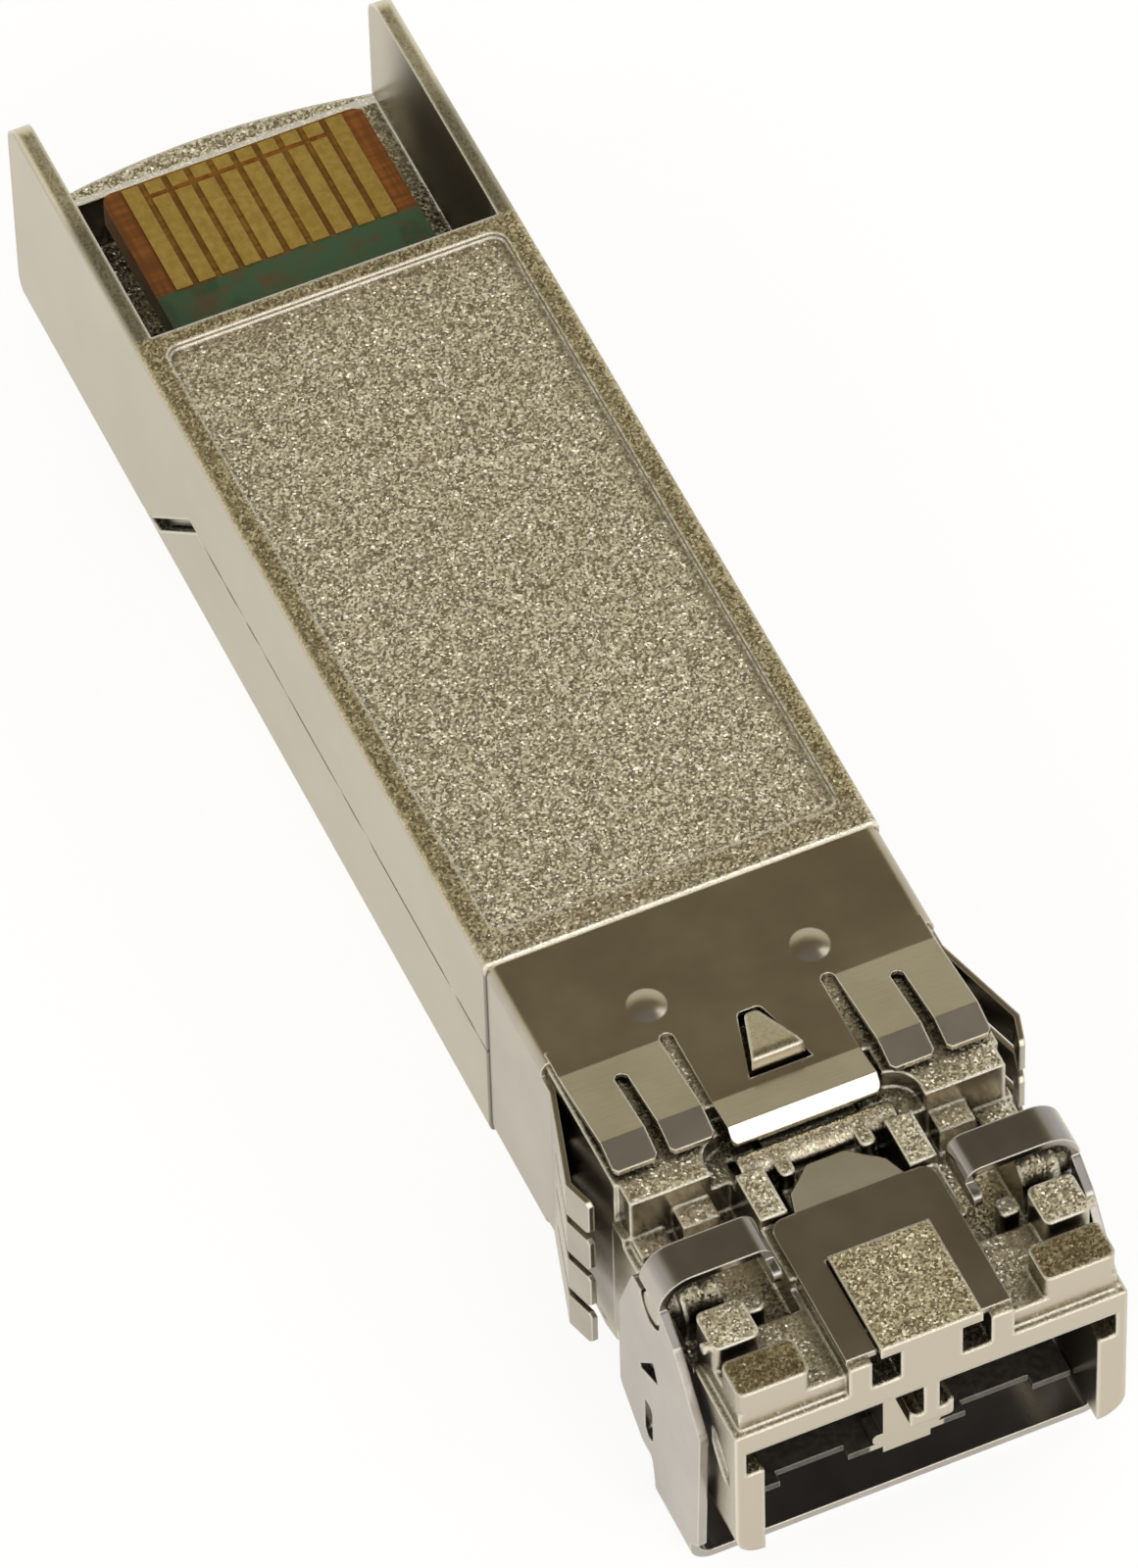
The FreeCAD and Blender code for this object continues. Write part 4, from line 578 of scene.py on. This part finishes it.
FINISHES = {
    "base_housing": CAST, "top_cover": CAST, "port_insert": PORT, "latch_lever": CAST_LEVER,
    "emi_shield": COLLAR, "bail": BAIL, "latch_spring": LEAF, "circuit_board": LAMINATE,
    "edge_contacts_latch_side": GOLD, "edge_contacts_cover_side": GOLD,
    "transmitter_barrel": STEEL, "receiver_barrel": STEEL, "transmitter_can": STEEL,
    "receiver_can": STEEL, "osa_clamp": STEEL, "transmitter_sleeve": CERAMIC,
    "receiver_sleeve": CERAMIC, "transmitter_fibre_stub": CERAMIC, "receiver_lens": GLASS,
    "transmitter_flex": FILM, "receiver_flex": FILM, "laser_driver_chip": RESIN,
    "receiver_chip": RESIN, "controller_chip": RESIN, "memory_chip": RESIN,
    "chip_capacitors": CAPACITOR, "thermal_pad": PAD, "absorber_pad": PAD,
}
for node_name, finish in FINISHES.items():
    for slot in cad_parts[node_name].material_slots:
        slot.material = finish


def direction(azimuth, elevation):
    """Unit vector from the module towards an azimuth (0 is the front) and an elevation."""
    flat = math.cos(elevation)
    return Vector((math.sin(azimuth) * flat, -math.cos(azimuth) * flat, math.sin(elevation)))


def camera_axes():
    back = direction(CAMERA_AZIMUTH, CAMERA_ELEVATION)
    right = Vector((0.0, 0.0, 1.0)).cross(back).normalized()
    up = back.cross(right)
    cos_r = math.cos(CAMERA_ROLL)
    sin_r = math.sin(CAMERA_ROLL)
    return right * cos_r + up * sin_r, up * cos_r - right * sin_r, back


def add_camera():
    data = bpy.data.cameras.new("camera")
    camera = bpy.data.objects.new("camera", data)
    bpy.context.scene.collection.objects.link(camera)
    right, up, back = camera_axes()
    matrix = Matrix((right, up, back)).transposed().to_4x4()
    matrix.translation = DATUM + CAMERA_TARGET + back * CAMERA_DISTANCE
    camera.matrix_world = matrix
    data.sensor_fit = "AUTO"
    data.sensor_width = SENSOR
    data.lens = PIXELS_PER_METRE * CAMERA_DISTANCE * SENSOR / IMAGE_HEIGHT
    data.shift_x = (IMAGE_WIDTH / 2 - TARGET_PIXEL[0]) / IMAGE_HEIGHT
    data.shift_y = (TARGET_PIXEL[1] - IMAGE_HEIGHT / 2) / IMAGE_HEIGHT
    data.clip_start = CLIP_START
    data.clip_end = CLIP_END
    bpy.context.scene.camera = camera


def floor_paper():
    """White with a faint shadow in the picture, pale paper to the light, brighter in mirrors."""
    material = bpy.data.materials.new("floor_paper")
    material.use_nodes = True
    nodes = Nodes(material.node_tree)

    def joined(kind, *shaders):
        node = nodes.add(kind)
        for source, socket in zip(shaders, node.inputs[-2:]):
            nodes.link(source.outputs[0], socket)
        return node

    path = nodes.add("LightPath")
    paper = nodes.add("BsdfDiffuse")
    paper.inputs["Color"].default_value = FLOOR_PAPER
    gleam = nodes.add("Emission")
    gleam.inputs["Color"].default_value = FLOOR_GLEAM
    strength = nodes.times(path.outputs["Is Glossy Ray"], FLOOR_GLEAM_STRENGTH)
    nodes.link(strength, gleam.inputs["Strength"])
    veil = nodes.add("BsdfDiffuse")
    veil.inputs["Color"].default_value = FLOOR_VEIL
    glow = nodes.add("Emission")
    glow.inputs["Strength"].default_value = FLOOR_GLOW
    mixed = joined("MixShader", joined("AddShader", paper, gleam), joined("AddShader", glow, veil))
    seen = nodes.most(path.outputs["Is Camera Ray"], path.outputs["Is Transmission Ray"])
    nodes.link(seen, mixed.inputs[0])
    output = nodes.add("OutputMaterial")
    nodes.link(mixed.outputs[0], output.inputs[0])
    return material


def add_floor():
    mesh = bpy.data.meshes.new("floor")
    corners = [(-FLOOR_HALF, -FLOOR_HALF, 0.0), (FLOOR_HALF, -FLOOR_HALF, 0.0),
               (FLOOR_HALF, FLOOR_HALF, 0.0), (-FLOOR_HALF, FLOOR_HALF, 0.0)]
    mesh.from_pydata(corners, [], [(0, 1, 2, 3)])
    mesh.materials.append(floor_paper())
    floor = bpy.data.objects.new("floor", mesh)
    bpy.context.scene.collection.objects.link(floor)


def add_world():
    world = bpy.data.worlds.new("studio")
    bpy.context.scene.world = world
    world.use_nodes = True
    nodes = Nodes(world.node_tree)
    ramp = nodes.add("ValToRGB")
    stops = ramp.color_ramp.elements
    stops[0].color = SKY[0][1]
    stops[1].color = SKY[-1][1]
    for position, colour in SKY[1:-1]:
        stops.new(position).color = colour
    nodes.link(nodes.split(nodes.add("TexCoord").outputs["Generated"])[2], ramp.inputs[0])
    background = nodes.add("Background")
    nodes.link(ramp.outputs[0], background.inputs["Color"])
    output = nodes.add("OutputWorld")
    nodes.link(background.outputs[0], output.inputs[0])


def add_softbox(name, azimuth, elevation, distance, size, power, colour):
    """Square lamp that looks at the module."""
    data = bpy.data.lights.new(name, "AREA")
    data.shape = "SQUARE"
    data.size = size
    data.energy = power
    data.color = colour
    lamp = bpy.data.objects.new(name, data)
    bpy.context.scene.collection.objects.link(lamp)
    aim = direction(math.radians(azimuth), math.radians(elevation))
    lamp.location = DATUM + CAMERA_TARGET + aim * distance
    lamp.rotation_euler = aim.to_track_quat("Z", "Y").to_euler()


add_camera()
add_floor()
add_world()
for lamp_name, settings in LAMPS.items():
    add_softbox(lamp_name, *settings)
bpy.context.scene.view_settings.view_transform = "Standard"
